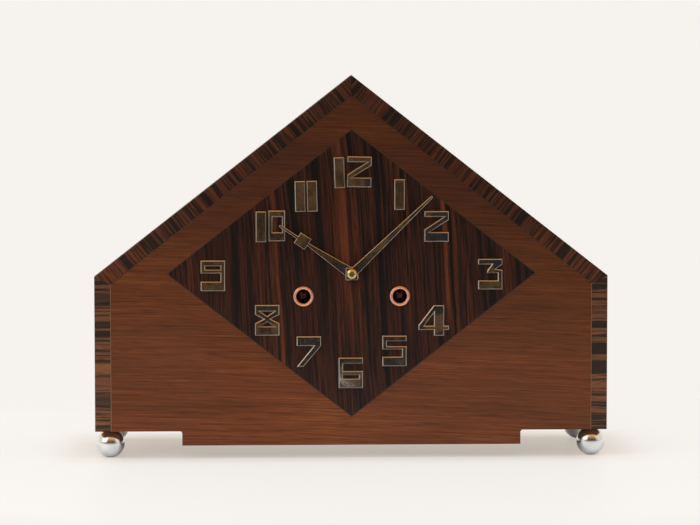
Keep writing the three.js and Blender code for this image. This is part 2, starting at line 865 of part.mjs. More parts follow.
// The point at given distances from two others, on the lower side of their line
function meet(first, firstDistance, second, secondDistance) {
  const between = second.clone().sub(first);
  const along = (between.lengthSq() + firstDistance ** 2 - secondDistance ** 2) / (2 * between.length());
  const across = Math.sqrt(firstDistance ** 2 - along ** 2);
  between.normalize();
  return point(
    first.x + along * between.x + across * between.y,
    first.y + along * between.y - across * between.x,
  );
}

const spacing = (wheel, pinion, module) => ((wheel + pinion) * module) / 2;
const heading = (from, to) => Math.atan2(to.y - from.y, to.x - from.x);

const greatSpacing = spacing(greatTeeth, intermediateLeaves, greatModule);
const intermediateSpacing = spacing(intermediateTeeth, centreLeaves, intermediateModule);
const thirdSpacing = spacing(thirdTeeth, escapeLeaves, thirdModule);

const centre = point(0, 0);
const going = point(arborSpacing / 2, -arborDrop);
const strike = point(-arborSpacing / 2, -arborDrop);
const goingSecond = meet(centre, intermediateSpacing, going, greatSpacing);
const third = polar(centre, spacing(centreTeeth, thirdLeaves, centreModule), thirdAngle);
const escape = point(0, third.y + Math.sqrt(thirdSpacing ** 2 - third.x ** 2));
const pallet = point(0, escape.y + escapeRadius / Math.cos(radians(palletSpan / 2)));
const strikeSecond = polar(strike, greatSpacing, strikeSecondAngle);
const strikeThird = polar(
  strikeSecond,
  spacing(intermediateTeeth, warningLeaves, intermediateModule),
  warningAngle,
);
const flyPlace = polar(strikeThird, spacing(warningTeeth, flyLeaves, warningModule), flyAngle);
const motion = polar(centre, spacing(minuteTeeth, cannonLeaves, motionModule), motionAngle);
const hammer = point(strike.x, strike.y - hammerDrop);

// Where each wheel lies between the plates
const secondWheelDepth = frontPlateBack + secondWheelGap;
const drumDepth = secondWheelDepth + wheelThickness + drumGap;
const centreWheelDepth = drumDepth + centreWheelStep;
const thirdWheelDepth = centreWheelDepth + thirdWheelStep;
const greatWheelDepth = drumDepth + drumLength;
const strikeThirdDepth = greatWheelDepth - (pinionLength + wheelThickness) / 2 - warningStep;
const escapeDepth = greatWheelDepth + greatThickness + escapeGap;
const strikeSecondDepth = backPlateFront - strikeSecondGap;
const hourWheelDepth = frontPlateFront - hourWheelStandoff;
const minuteWheelDepth = frontPlateFront - minuteWheelStandoff;
const ratchetDepth = frontPlateFront - ratchetStandoff;

// A toothed outline with one tooth at the phase angle
function teethOutline(teeth, module, phase, tooth = wheelTooth) {
  const outline = [];
  for (let i = 0; i < teeth; i++) {
    tooth.forEach(([share, rise]) => {
      const angle = phase + ((i + share) / teeth) * tau;
      const distance = (teeth / 2 + rise) * module;
      outline.push(point(distance * Math.cos(angle), distance * Math.sin(angle)));
    });
  }
  return outline;
}

// Saw teeth, which lean the way that they are driven
function sawOutline(teeth, tip, root, lean) {
  const outline = [];
  for (let i = 0; i < teeth; i++) {
    const angle = (i / teeth) * tau;
    const back = angle + (lean / teeth) * tau;
    outline.push(point(root * Math.cos(back), root * Math.sin(back)));
    outline.push(point(tip * Math.cos(angle + tau / teeth / 2), tip * Math.sin(angle + tau / teeth / 2)));
  }
  return outline;
}

// The windows between a wheel's arms
function windows(inner, outer, width) {
  const holes = [];
  for (let i = 0; i < wheelArms; i++) {
    const start = (i / wheelArms) * tau;
    const end = ((i + 1) / wheelArms) * tau;
    const arc = (radius, from, to, steps) => {
      const trim = Math.asin(width / 2 / radius) * Math.sign(to - from);
      const points = [];
      for (let k = 0; k <= steps; k++) {
        const angle = from + trim + ((to - from - 2 * trim) * k) / steps;
        points.push(point(radius * Math.cos(angle), radius * Math.sin(angle)));
      }
      return points;
    };
    holes.push([...arc(outer, start, end, 3), ...arc(inner, end, start, 1)]);
  }
  return holes;
}

function wheel(teeth, module, phase, depth) {
  const rim = (teeth / 2 - rimModules) * module - rimMargin;
  const outline = teethOutline(teeth, module, phase);
  return slab(outline, depth, depth + wheelThickness, windows(hubRadius, rim, armWidth));
}

// A pinion's gap, not its leaf, points at the wheel that it meets
function pinion(leaves, module, phase, depth, length = pinionLength) {
  const start = depth + (wheelThickness - length) / 2;
  const outline = teethOutline(leaves, module, phase + Math.PI / leaves, pinionLeaf);
  return slab(outline, start, start + length);
}

// An arbor between the plates with a pivot in each
function arbor(radius, back = backPlateBack) {
  const shoulders = [frontPlateBack + boreClearance, backPlateFront - boreClearance];
  return turned(
    [
      [0, frontPlateFront],
      [pivotRadius, frontPlateFront],
      [pivotRadius, shoulders[0]],
      [radius, shoulders[0]],
      [radius, shoulders[1]],
      [pivotRadius, shoulders[1]],
      [pivotRadius, back],
      [0, back],
    ],
    pivotSides,
  );
}

const plateHalf = arborSpacing / 2 + plateMargin;
const plateLow = hammer.y - pillarInset;
const plateHigh = pallet.y + 2 * plateCorner;
const pillars = [-1, 1].flatMap((side) => [
  point(side * (plateHalf - pillarInset), hammer.y + pillarRise),
  point(side * (plateHalf - pillarInset), plateHigh - pillarInset),
]);
const pivots = [goingSecond, third, escape, strikeSecond, strikeThird, flyPlace, hammer];

// The plates' rectangle with rounded corners, from the lower right one round to the lower left one
function plateOutline() {
  const corners = [
    [plateHalf, plateLow],
    [plateHalf, plateHigh],
    [-plateHalf, plateHigh],
    [-plateHalf, plateLow],
  ];
  return corners.flatMap(([x, z], i) => {
    const middle = point(x - Math.sign(x) * plateCorner, z - Math.sign(z) * plateCorner);
    return [-90, -45, 0].map((step) => polar(middle, plateCorner, i * 90 + step));
  });
}

function pivotHoles() {
  return pivots.map((place) => ring(pivotRadius + boreClearance, pivotSides, place));
}

function frontPlate() {
  const holes = [
    ...pivotHoles(),
    ring(pivotRadius + boreClearance, pivotSides, pallet),
    ring(centreArborRadius + boreClearance, pipeSides, centre),
    ring(barrelArborRadius + boreClearance, pipeSides, going),
    ring(barrelArborRadius + boreClearance, pipeSides, strike),
  ];
  const posts = pillars.map(({ x, y }) =>
    turned(
      [
        [0, panelBack],
        [pillarRadius, panelBack],
        [pillarRadius, backPlateFront],
        [pillarStudRadius, backPlateFront],
        [pillarStudRadius, backPlateFront + pillarStudLength],
        [0, backPlateFront + pillarStudLength],
      ],
      pivotSides,
      { at: [x, 0, y] },
    ),
  );
  const studPlace = { at: [motion.x, 0, motion.y] };
  const stud = rod(motionStudRadius, hourWheelDepth - overrun, frontPlateBack, smallSides, studPlace);
  return join(slab(plateOutline(), frontPlateFront, frontPlateBack, holes), ...posts, stud);
}

function backPlate() {
  const holes = [
    ...pivotHoles(),
    ...pillars.map((place) => ring(pillarStudRadius + boreClearance, pivotSides, place)),
    ring(fineArborRadius + boreClearance, smallSides, pallet),
    ring(pivotRadius + boreClearance, pivotSides, centre),
    ring(barrelPivotRadius + boreClearance, arborSides, going),
    ring(barrelPivotRadius + boreClearance, arborSides, strike),
  ];
  const rodDepth = backPlateBack + pendulumStandoff;
  const cheekDepths = [rodDepth - suspensionWidth / 2, rodDepth + suspensionWidth / 2];
  const cheekHeights = [pallet.y - suspensionGrip, pallet.y + suspensionDrop];
  const inner = suspensionThickness / 2 + boreClearance;
  const outer = inner + cheekThickness;
  const bridge = [pallet.y + suspensionDrop / 2, pallet.y + suspensionDrop];
  return join(
    slab(plateOutline(), backPlateFront, backPlateBack, holes),
    box([-outer, outer], [backPlateBack - cockRoot, cheekDepths[1]], bridge),
    box([-outer, -inner], cheekDepths, cheekHeights),
    box([inner, outer], cheekDepths, cheekHeights),
  );
}

// A spring barrel: a drum with its great wheel, loose on the winding arbor
function barrel(mate, place) {
  const bore = barrelArborRadius + boreClearance;
  const rim = slab(
    teethOutline(greatTeeth, greatModule, heading(place, mate)),
    greatWheelDepth,
    greatWheelDepth + greatThickness,
    [ring(drumRadius - drumWall, dialSides)],
  );
  const back = greatWheelDepth + greatThickness - drumOverlap;
  return join(rim, tube(bore, drumRadius, drumDepth, back, drumSides));
}

function windingArbor() {
  const half = windingSquare / 2;
  const shoulder = backPlateFront - boreClearance;
  const square = box([-half, half], [squareRecess, ratchetDepth], [-half, half]);
  const shaft = turned(
    [
      [0, panelBack + arborFace],
      [barrelArborRadius, panelBack + arborFace],
      [barrelArborRadius, shoulder],
      [barrelPivotRadius, shoulder],
      [barrelPivotRadius, backPlateBack],
      [0, backPlateBack],
    ],
    arborSides,
  );
  const ratchet = slab(
    sawOutline(ratchetTeeth, ratchetRadius, ratchetRadius - ratchetDrop, ratchetLean),
    ratchetDepth,
    ratchetDepth + ratchetThickness,
  );
  return join(square, shaft, ratchet);
}

// A barrel's pinion and the second wheel that it drives
function secondWheel(place, great, next, wheelDepth) {
  return join(
    arbor(arborRadius),
    pinion(intermediateLeaves, greatModule, heading(place, great), greatWheelDepth),
    wheel(intermediateTeeth, intermediateModule, heading(place, next), wheelDepth),
  );
}

function strikeSecondWheel() {
  const pins = [];
  for (let i = 0; i < liftingPins; i++) {
    const { x, y } = polar(centre, liftingPinCircle, (360 / liftingPins) * i);
    const start = strikeSecondDepth - liftingPinLength;
    const end = strikeSecondDepth + wheelThickness / 2;
    pins.push(rod(liftingPinRadius, start, end, pivotSides, { at: [x, 0, y] }));
  }
  return join(secondWheel(strikeSecond, strike, strikeThird, strikeSecondDepth), ...pins);
}

function centreArbor() {
  const threadEnd = minuteHandBack - handThickness - nutLength + threadRecess;
  const shaft = turned(
    [
      [0, threadEnd],
      [nutThreadRadius, threadEnd],
      [nutThreadRadius, minuteHandBack],
      [centreArborRadius, minuteHandBack],
      [centreArborRadius, backPlateFront - boreClearance],
      [pivotRadius, backPlateFront - boreClearance],
      [pivotRadius, backPlateBack],
      [0, backPlateBack],
    ],
    arborSides,
  );
  const toSecond = heading(centre, goingSecond);
  return join(
    shaft,
    pinion(cannonLeaves, motionModule, heading(centre, motion), minuteWheelDepth, cannonLength),
    pinion(centreLeaves, intermediateModule, toSecond, secondWheelDepth, centrePinionLength),
    wheel(centreTeeth, centreModule, heading(centre, third), centreWheelDepth),
  );
}

function thirdWheel() {
  return join(
    arbor(fineArborRadius),
    pinion(thirdLeaves, centreModule, heading(third, centre), centreWheelDepth),
    wheel(thirdTeeth, thirdModule, heading(third, escape), thirdWheelDepth),
  );
}

function escapeWheel() {
  const outline = sawOutline(escapeTeeth, escapeRadius, escapeRadius - escapeDrop, escapeLean);
  const openings = windows(escapeRim, escapeRadius - escapeRim, escapeArmWidth);
  return join(
    arbor(fineArborRadius),
    pinion(escapeLeaves, thirdModule, heading(escape, third), thirdWheelDepth),
    slab(outline, escapeDepth, escapeDepth + escapeThickness, openings),
  );
}

// The recoil anchor, its arbor, and the crutch whose fork stands round the pendulum rod
function anchor() {
  const reach = escapeRadius + palletGap;
  const half = radians(palletSpan / 2);
  const acting = point(reach * Math.sin(half), reach * Math.cos(half) - (pallet.y - escape.y));
  const corners = [
    acting,
    point(acting.x + palletNose[0], acting.y + palletNose[1]),
    point(acting.x + palletShoulder[0], acting.y + palletShoulder[1]),
    point(...anchorNeck),
  ];
  const [footX, footY] = anchorFoot;
  const mirrored = corners.map(({ x, y }) => point(-x, y)).reverse();
  const arch = [...corners, ...mirrored, point(-footX, footY), point(footX, footY)];
  const crutchDepth = backPlateBack + crutchGap;
  const sheet = [crutchDepth, crutchDepth + crutchThickness];
  const fork = rodRadius + boreClearance;
  const wide = fork + prongThickness;
  const forkHeights = [-crutchLength, crutchWidth - crutchLength];
  const prongDepths = [crutchDepth, backPlateBack + pendulumStandoff + rodRadius];
  const shaft = turned(
    [
      [0, frontPlateFront],
      [pivotRadius, frontPlateFront],
      [pivotRadius, frontPlateBack + boreClearance],
      [fineArborRadius, frontPlateBack + boreClearance],
      [fineArborRadius, crutchDepth + crutchThickness / 2],
      [0, crutchDepth + crutchThickness / 2],
    ],
    smallSides,
  );
  return join(
    slab(arch, escapeDepth, escapeDepth + escapeThickness),
    shaft,
    rod(crutchHubRadius, ...sheet, smallSides),
    box([-crutchWidth / 2, crutchWidth / 2], sheet, [crutchWidth / 2 - crutchLength, 0]),
    box([-wide, wide], sheet, forkHeights),
    box([-wide, -fork], prongDepths, forkHeights),
    box([fork, wide], prongDepths, forkHeights),
  );
}

function pendulum() {
  const depth = backPlateBack + pendulumStandoff;
  const strip = box(
    [-suspensionThickness / 2, suspensionThickness / 2],
    [depth - suspensionWidth / 2, depth + suspensionWidth / 2],
    [-suspensionLength, suspensionGrip],
  );
  const blockTop = suspensionGrip - suspensionLength;
  const block = box(
    [-blockWidth / 2, blockWidth / 2],
    [depth - suspensionWidth / 2, depth + suspensionWidth / 2],
    [blockTop - blockHeight, blockTop],
  );
  const upright = { axis: "z", at: [0, depth, 0] };
  const nutTop = -pendulumLength - bobRadius + nutOverlap;
  const nutBottom = nutTop - ratingNutLength;
  const stem = rod(rodRadius, nutBottom - rodEnd, blockTop - blockHeight + rodOverlap, smallSides, upright);
  const bob = turned(
    bobProfile.map(([across, along]) => [bobRadius * across, (-along * bobThickness) / 2]),
    drumSides,
    { at: [0, depth, -pendulumLength] },
  );
  const nut = rod(ratingNutRadius, nutBottom, nutTop, arborSides, upright);
  return join(strip, block, stem, bob, nut);
}

// The hour wheel, its pipe for the hand, and the twelve-step snail that counts the blows
function hourWheel() {
  const middle = (hourPipeBore + hourPipeRadius) / 2;
  const outline = teethOutline(hourTeeth, motionModule, heading(centre, motion));
  const depths = [hourWheelDepth, hourWheelDepth + wheelThickness];
  const snail = [];
  for (let i = 0; i < snailSteps; i++) {
    const radius = snailRadius - (i * snailFall) / (snailSteps - 1);
    const step = 360 / snailSteps;
    snail.push(polar(centre, radius, i * step), polar(centre, radius, (i + 1) * step));
  }
  const bore = [ring(middle, pipeSides)];
  const snailBack = hourWheelDepth + wheelThickness / 3;
  return join(
    slab(outline, ...depths, bore),
    slab(snail, hourWheelDepth - wheelThickness, snailBack, bore),
    tube(hourPipeBore, hourPipeRadius, -hourHandLift - handThickness, depths[1] - pipeRecess, pipeSides),
  );
}

function minuteWheel() {
  const outline = teethOutline(minuteTeeth, motionModule, heading(motion, centre));
  const phase = heading(motion, centre) + Math.PI / minuteLeaves;
  const leaves = teethOutline(minuteLeaves, motionModule, phase, pinionLeaf);
  const overlap = wheelThickness / 3;
  const solid = join(
    slab(outline, minuteWheelDepth, minuteWheelDepth + wheelThickness),
    slab(leaves, hourWheelDepth - overlap, minuteWheelDepth + overlap),
  );
  return cut(solid, rod(motionStudRadius + boreClearance, 0, frontPlateBack, smallSides));
}

function strikeThirdWheel() {
  const toSecond = heading(strikeThird, strikeSecond);
  return join(
    arbor(arborRadius),
    pinion(warningLeaves, intermediateModule, toSecond, strikeSecondDepth, warningPinionLength),
    wheel(warningTeeth, warningModule, heading(strikeThird, flyPlace), strikeThirdDepth),
  );
}

// The fly, whose blade brakes the strike train
function fly() {
  const start = frontPlateBack + flyGap;
  return join(
    arbor(fineArborRadius),
    pinion(flyLeaves, warningModule, heading(flyPlace, strikeThird), strikeThirdDepth),
    box([-flyRadius, flyRadius], [start, start + flyLength], [-flyThickness / 2, flyThickness / 2]),
  );
}

// Three hammers on one arbor, with the tail that the pins lift
function hammers() {
  const tailLength =
    hammer.distanceTo(strikeSecond) - liftingPinCircle - liftingPinRadius - liftingGap;
  const direction = heading(hammer, strikeSecond);
  const tailHalf = hammerTailWidth / 2;
  const tail = rectangle(0, tailLength, -tailHalf, tailHalf);
  const tailDepth = strikeSecondDepth - liftingPinLength;
  const fall = Math.atan2(-hammerFall, -hammerReach);
  const armLength = Math.hypot(hammerReach, hammerFall);
  const arm = rectangle(0, armLength, -hammerArmWidth / 2, hammerArmWidth / 2);
  arm.forEach((corner) => corner.rotateAround(centre, fall));
  tail.forEach((corner) => corner.rotateAround(centre, direction));
  const arms = gongDepths.map((depth) =>
    slab(arm, depth - hammerArmThickness / 2, depth + hammerArmThickness / 2),
  );
  const heads = gongDepths.map((depth) =>
    turned(
      [
        [0, 0],
        [hammerHeadRadius - hammerHeadChamfer, 0],
        [hammerHeadRadius, hammerHeadChamfer],
        [hammerHeadRadius, hammerHeadLength],
        [0, hammerHeadLength],
      ],
      smallSides,
      { axis: "z", at: [-hammerReach, depth, -hammerFall - hammerHeadLength / 2] },
    ),
  );
  return join(
    arbor(arborRadius),
    slab(tail, tailDepth, tailDepth + hammerTailThickness),
    ...arms,
    ...heads,
  );
}

// Gong rods in a block that stands on the base board
function gong() {
  const blockRight = hammer.x - hammerReach - gongBlockOverhang;
  const height = hammer.y - hammerFall - hammerHeadLength / 2 - hammerGap - gongRadius;
  const floor = caseBottom + boardThickness - dialCentre;
  const depths = [gongDepths[0] - gongBlockMargin, gongDepths.at(-1) + gongBlockMargin];
  const block = box([blockRight - gongBlockWidth, blockRight], depths, [floor, height + gongBlockRise]);
  const rods = gongDepths.map((depth) => {
    const placement = { axis: "x", at: [0, depth, height] };
    return rod(gongRadius, blockRight - gongRodRoot, blockRight + gongLength, smallSides, placement);
  });
  return join(block, ...rods);
}

function makeMovement() {
  add(movement, "front_plate", frontPlate(), brass);
  add(movement, "back_plate", backPlate(), brass);
  add(movement, "going_barrel", barrel(goingSecond, going), brass, going);
  add(movement, "strike_barrel", barrel(strikeSecond, strike), brass, strike);
  add(movement, "going_winding_arbor", windingArbor(), steel, going);
  add(movement, "strike_winding_arbor", windingArbor(), steel, strike);
  const goingSecondWheel = secondWheel(goingSecond, going, centre, secondWheelDepth);
  add(movement, "going_second_wheel", goingSecondWheel, brass, goingSecond);
  add(movement, "centre_arbor", centreArbor(), brass);
  add(movement, "third_wheel", thirdWheel(), brass, third);
  add(movement, "escape_wheel", escapeWheel(), brass, escape);
  add(movement, "anchor", anchor(), steel, pallet);
  add(movement, "pendulum", pendulum(), brass, pallet);
  add(movement, "hour_wheel", hourWheel(), brass);
  add(movement, "minute_wheel", minuteWheel(), brass, motion);
  add(movement, "strike_second_wheel", strikeSecondWheel(), brass, strikeSecond);
  add(movement, "strike_third_wheel", strikeThirdWheel(), brass, strikeThird);
  add(movement, "fly", fly(), brass, flyPlace);
  add(movement, "hammers", hammers(), steel, hammer);
  add(movement, "gong", gong(), iron);
}

makeCase();
makeBack();
makeDial();
makeHands();
makeMovement();

// The origin is under the middle of the whole clock, from the hands' nut to the door's knob
const foremost = minuteHandBack - handThickness - nutLength;
const hindmost = caseDepth + boreClearance + knobLength;
clock.position.y = -(foremost + hindmost) / 2;

export default clock;
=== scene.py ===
import math

import bmesh
import bpy
from mathutils import Matrix, Vector


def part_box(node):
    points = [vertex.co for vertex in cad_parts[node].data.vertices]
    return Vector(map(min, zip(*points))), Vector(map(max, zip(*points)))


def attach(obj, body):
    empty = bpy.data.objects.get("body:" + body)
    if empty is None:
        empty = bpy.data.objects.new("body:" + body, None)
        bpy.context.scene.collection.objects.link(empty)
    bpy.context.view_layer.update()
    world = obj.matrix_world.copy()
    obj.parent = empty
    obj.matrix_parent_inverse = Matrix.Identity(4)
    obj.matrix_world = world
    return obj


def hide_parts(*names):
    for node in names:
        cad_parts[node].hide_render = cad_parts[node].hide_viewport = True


# Art deco mantel clock, dressed on its CAD frame. Lengths in the dictionaries are millimetres.
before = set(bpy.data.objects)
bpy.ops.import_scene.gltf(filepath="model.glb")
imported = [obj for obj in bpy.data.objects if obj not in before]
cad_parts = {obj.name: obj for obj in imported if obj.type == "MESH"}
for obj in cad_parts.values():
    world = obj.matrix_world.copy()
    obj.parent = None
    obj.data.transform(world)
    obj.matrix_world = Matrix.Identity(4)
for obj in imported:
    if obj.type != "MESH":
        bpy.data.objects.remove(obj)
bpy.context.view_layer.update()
mm = 0.001
roofPitch = math.radians(38)
upright = math.pi / 2
modelling = {"smoothUnder": 32, "bevelOver": 30, "weld": 0.002, "sliver": 0.001}  # degrees, then millimetres
print("frame loaded:", len(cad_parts), "parts")


# Places taken from the frame
def nodeBox(name):  # lowest and highest corner in millimetres
    low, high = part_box(name)
    return low / mm, high / mm


caseLow, caseHigh = nodeBox("banding")
dialLow, dialHigh = nodeBox("dial_diamond")
dialFace = dialLow.y
dialCentre = (dialLow.z + dialHigh.z) / 2
halfCase = caseHigh.x
shoulder = caseHigh.z - halfCase * math.tan(roofPitch)
gableCorners = [  # outer corners as seen from the front, counter-clockwise from the lower right
    Vector((halfCase, caseLow.z)),
    Vector((halfCase, shoulder)),
    Vector((0, caseHigh.z)),
    Vector((-halfCase, shoulder)),
    Vector((-halfCase, caseLow.z)),
]


# Modelling helpers
def deselectAll():
    if bpy.context.mode != "OBJECT":
        bpy.ops.object.mode_set(mode="OBJECT")
    bpy.ops.object.select_all(action="DESELECT")


def activate(piece):  # the only selected piece, and the active one
    deselectAll()
    piece.select_set(True)
    bpy.context.view_layer.objects.active = piece


def nameNewPiece(name):  # the primitive that was just added, with its place moved into its mesh
    piece = bpy.context.active_object
    piece.name = piece.data.name = name
    bpy.ops.object.transform_apply(location=True, rotation=True, scale=True)
    return piece


def addBlock(name, low, high):  # a cube stretched between two corners, in millimetres
    deselectAll()
    low, high = Vector(low) * mm, Vector(high) * mm
    bpy.ops.mesh.primitive_cube_add(size=1, location=(low + high) / 2, scale=high - low)
    return nameNewPiece(name)


def addPrism(name, place, radius, length, sides, scale=(1, 1, 1)):  # it lies front to back
    deselectAll()
    bpy.ops.mesh.primitive_cylinder_add(
        vertices=sides,
        radius=radius * mm,
        depth=length * mm,
        location=Vector(place) * mm,
        rotation=(upright, 0, 0),
        scale=scale,
    )
    return nameNewPiece(name)


def work(piece):  # edit mode with nothing selected
    activate(piece)
    bpy.ops.object.mode_set(mode="EDIT")
    bpy.ops.mesh.select_all(action="DESELECT")


def pickEdges(piece, wanted):  # selects the edges whose middle and direction pass a test
    bpy.ops.mesh.select_mode(type="EDGE")
    bpy.ops.mesh.select_all(action="DESELECT")
    mesh = bmesh.from_edit_mesh(piece.data)
    for edge in mesh.edges:
        first, second = (corner.co / mm for corner in edge.verts)
        if wanted((first + second) / 2, (second - first).normalized()):
            edge.select_set(True)
    bmesh.update_edit_mesh(piece.data)


def pickFaces(piece, wanted):  # selects the faces whose middle and normal pass a test
    bpy.ops.mesh.select_mode(type="FACE")
    bpy.ops.mesh.select_all(action="DESELECT")
    mesh = bmesh.from_edit_mesh(piece.data)
    for face in mesh.faces:
        if wanted(face.calc_center_median() / mm, face.normal):
            face.select_set(True)
    bmesh.update_edit_mesh(piece.data)


def shadeSoft(piece):  # smooth over small angles, sharp at the edges
    activate(piece)
    bpy.ops.object.shade_smooth_by_angle(angle=math.radians(modelling["smoothUnder"]))


def turnOnLathe(name, profile, place, axis, steps):
    # the profile's [radius, height] points are drawn by extruding one point, then spun about the axis
    axis = Vector(axis)
    side = Vector((1, 0, 0)) if abs(axis.x) < 0.5 else Vector((0, 0, 1))
    place = Vector(place)
    points = [(place + side * radius + axis * height) * mm for radius, height in profile]
    deselectAll()
    bpy.ops.mesh.primitive_plane_add(size=mm, location=points[0])
    piece = nameNewPiece(name)
    bpy.ops.object.mode_set(mode="EDIT")
    bpy.ops.mesh.select_mode(type="VERT")
    bpy.ops.mesh.select_all(action="SELECT")
    bpy.ops.mesh.merge(type="CENTER")
    for before, after in zip(points, points[1:]):
        bpy.ops.mesh.extrude_region_move(TRANSFORM_OT_translate={"value": after - before})
    bpy.ops.mesh.select_all(action="SELECT")
    bpy.ops.mesh.spin(steps=steps, angle=2 * math.pi, center=place * mm, axis=axis)
    bpy.ops.mesh.select_all(action="SELECT")
    bpy.ops.mesh.remove_doubles(threshold=modelling["weld"] * mm)
    bpy.ops.mesh.dissolve_degenerate(threshold=modelling["sliver"] * mm)
    bpy.ops.mesh.normals_make_consistent(inside=False)
    shadeSoft(piece)
    return piece


def arc(centre, radius, start, end, count):  # points of a profile's round part, angles from the axis
    points = []
    for step in range(count + 1):
        angle = math.radians(start + (end - start) * step / count)
        points.append((centre[0] + radius * math.sin(angle), centre[1] - radius * math.cos(angle)))
    return points


def copyPiece(piece, name, shift):  # a copy with its own mesh, moved by a shift in millimetres
    deselectAll()
    twin = piece.copy()
    twin.data = piece.data.copy()
    twin.name = twin.data.name = name
    bpy.context.scene.collection.objects.link(twin)
    twin.data.transform(Matrix.Translation(Vector(shift) * mm))
    return twin


def boolean(piece, tool, operation):  # cuts or joins with a tool piece, which is then thrown away
    activate(piece)
    change = piece.modifiers.new("change", "BOOLEAN")
    change.operation, change.object, change.solver = operation, tool, "EXACT"
    bpy.ops.object.modifier_apply(modifier=change.name)
    bpy.data.objects.remove(tool)


def softenEdges(piece, width, segments=2):  # a bevel on every sharp edge
    activate(piece)
    bevel = piece.modifiers.new("arris", "BEVEL")
    bevel.width, bevel.segments = width * mm, segments
    bevel.limit_method, bevel.angle_limit = "ANGLE", math.radians(modelling["bevelOver"])
    bevel.use_clamp_overlap = True
    bpy.ops.object.modifier_apply(modifier=bevel.name)
    shadeSoft(piece)


def fit(piece, body, material, replaced=()):  # its finish, slot, CAD parts it stands for, and body
    piece.data.materials.clear()
    piece.data.materials.append(material)
    if replaced:
        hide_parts(*replaced)
    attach(piece, body)


def finishParts(material, *names):  # gives CAD parts their finish
    for name in names:
        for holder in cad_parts[name].material_slots:
            holder.material = material


# Finishes
def hexColour(text):  # sRGB hex to linear
    channels = [int(text[i:i + 2], 16) / 255 for i in (1, 3, 5)]
    linear = [c / 12.92 if c <= 0.04045 else ((c + 0.055) / 1.055) ** 2.4 for c in channels]
    return (*linear, 1)


def wire(tree, node, inputs):  # sets values and links; a node given as a value means its first output
    for name, value in inputs.items():
        if isinstance(value, bpy.types.Node):
            value = value.outputs[0]
        if isinstance(value, bpy.types.NodeSocket):
            tree.links.new(value, node.inputs[name])
        else:
            node.inputs[name].default_value = value


def addNode(tree, kind, inputs=None, **settings):  # a node with its settings, values and links
    made = tree.nodes.new(kind)
    for name, value in settings.items():
        setattr(made, name, value)
    wire(tree, made, inputs or {})
    return made


def startMaterial(name):
    material = bpy.data.materials.new(name)
    material.use_nodes = True
    tree = material.node_tree
    tree.nodes.clear()
    shader = addNode(tree, "ShaderNodeBsdfPrincipled")
    addNode(tree, "ShaderNodeOutputMaterial", {"Surface": shader})
    return material, tree, shader


def colourStops(ramp, stops):  # [place, hex] pairs on a colour ramp
    elements = ramp.color_ramp.elements
    while len(elements) < len(stops):
        elements.new(0.5)
    for element, (place, colour) in zip(elements, stops):
        element.position = place
        element.color = hexColour(colour)


def unevenPattern(tree, spot, cells, detail, rough=0.5, turbulence=0.0, seed=0):
    # values of 0 to 1 that change over cells of these millimetres along X, Y and Z
    placed = addNode(tree, "ShaderNodeMapping", {
        "Vector": spot, "Location": (seed, 0, 0),
        "Scale": tuple(1 / (mm * size) for size in cells)})
    return addNode(tree, "ShaderNodeTexNoise", {
        "Vector": placed, "Scale": 1.0, "Detail": detail, "Roughness": rough, "Distortion": turbulence})


# Where a pattern starts and where it is full, on a scale of 0 to 1
patternSpan = {"pores": (0.56, 0.7), "drift": (0.42, 0.62), "sheen": (0.3, 0.7)}
# One broad stripe: its solid and its faded half as shares of its width, and how much the grain leaves of it
stripe = {"solid": 0.35, "faded": 0.75, "strength": 1.4}


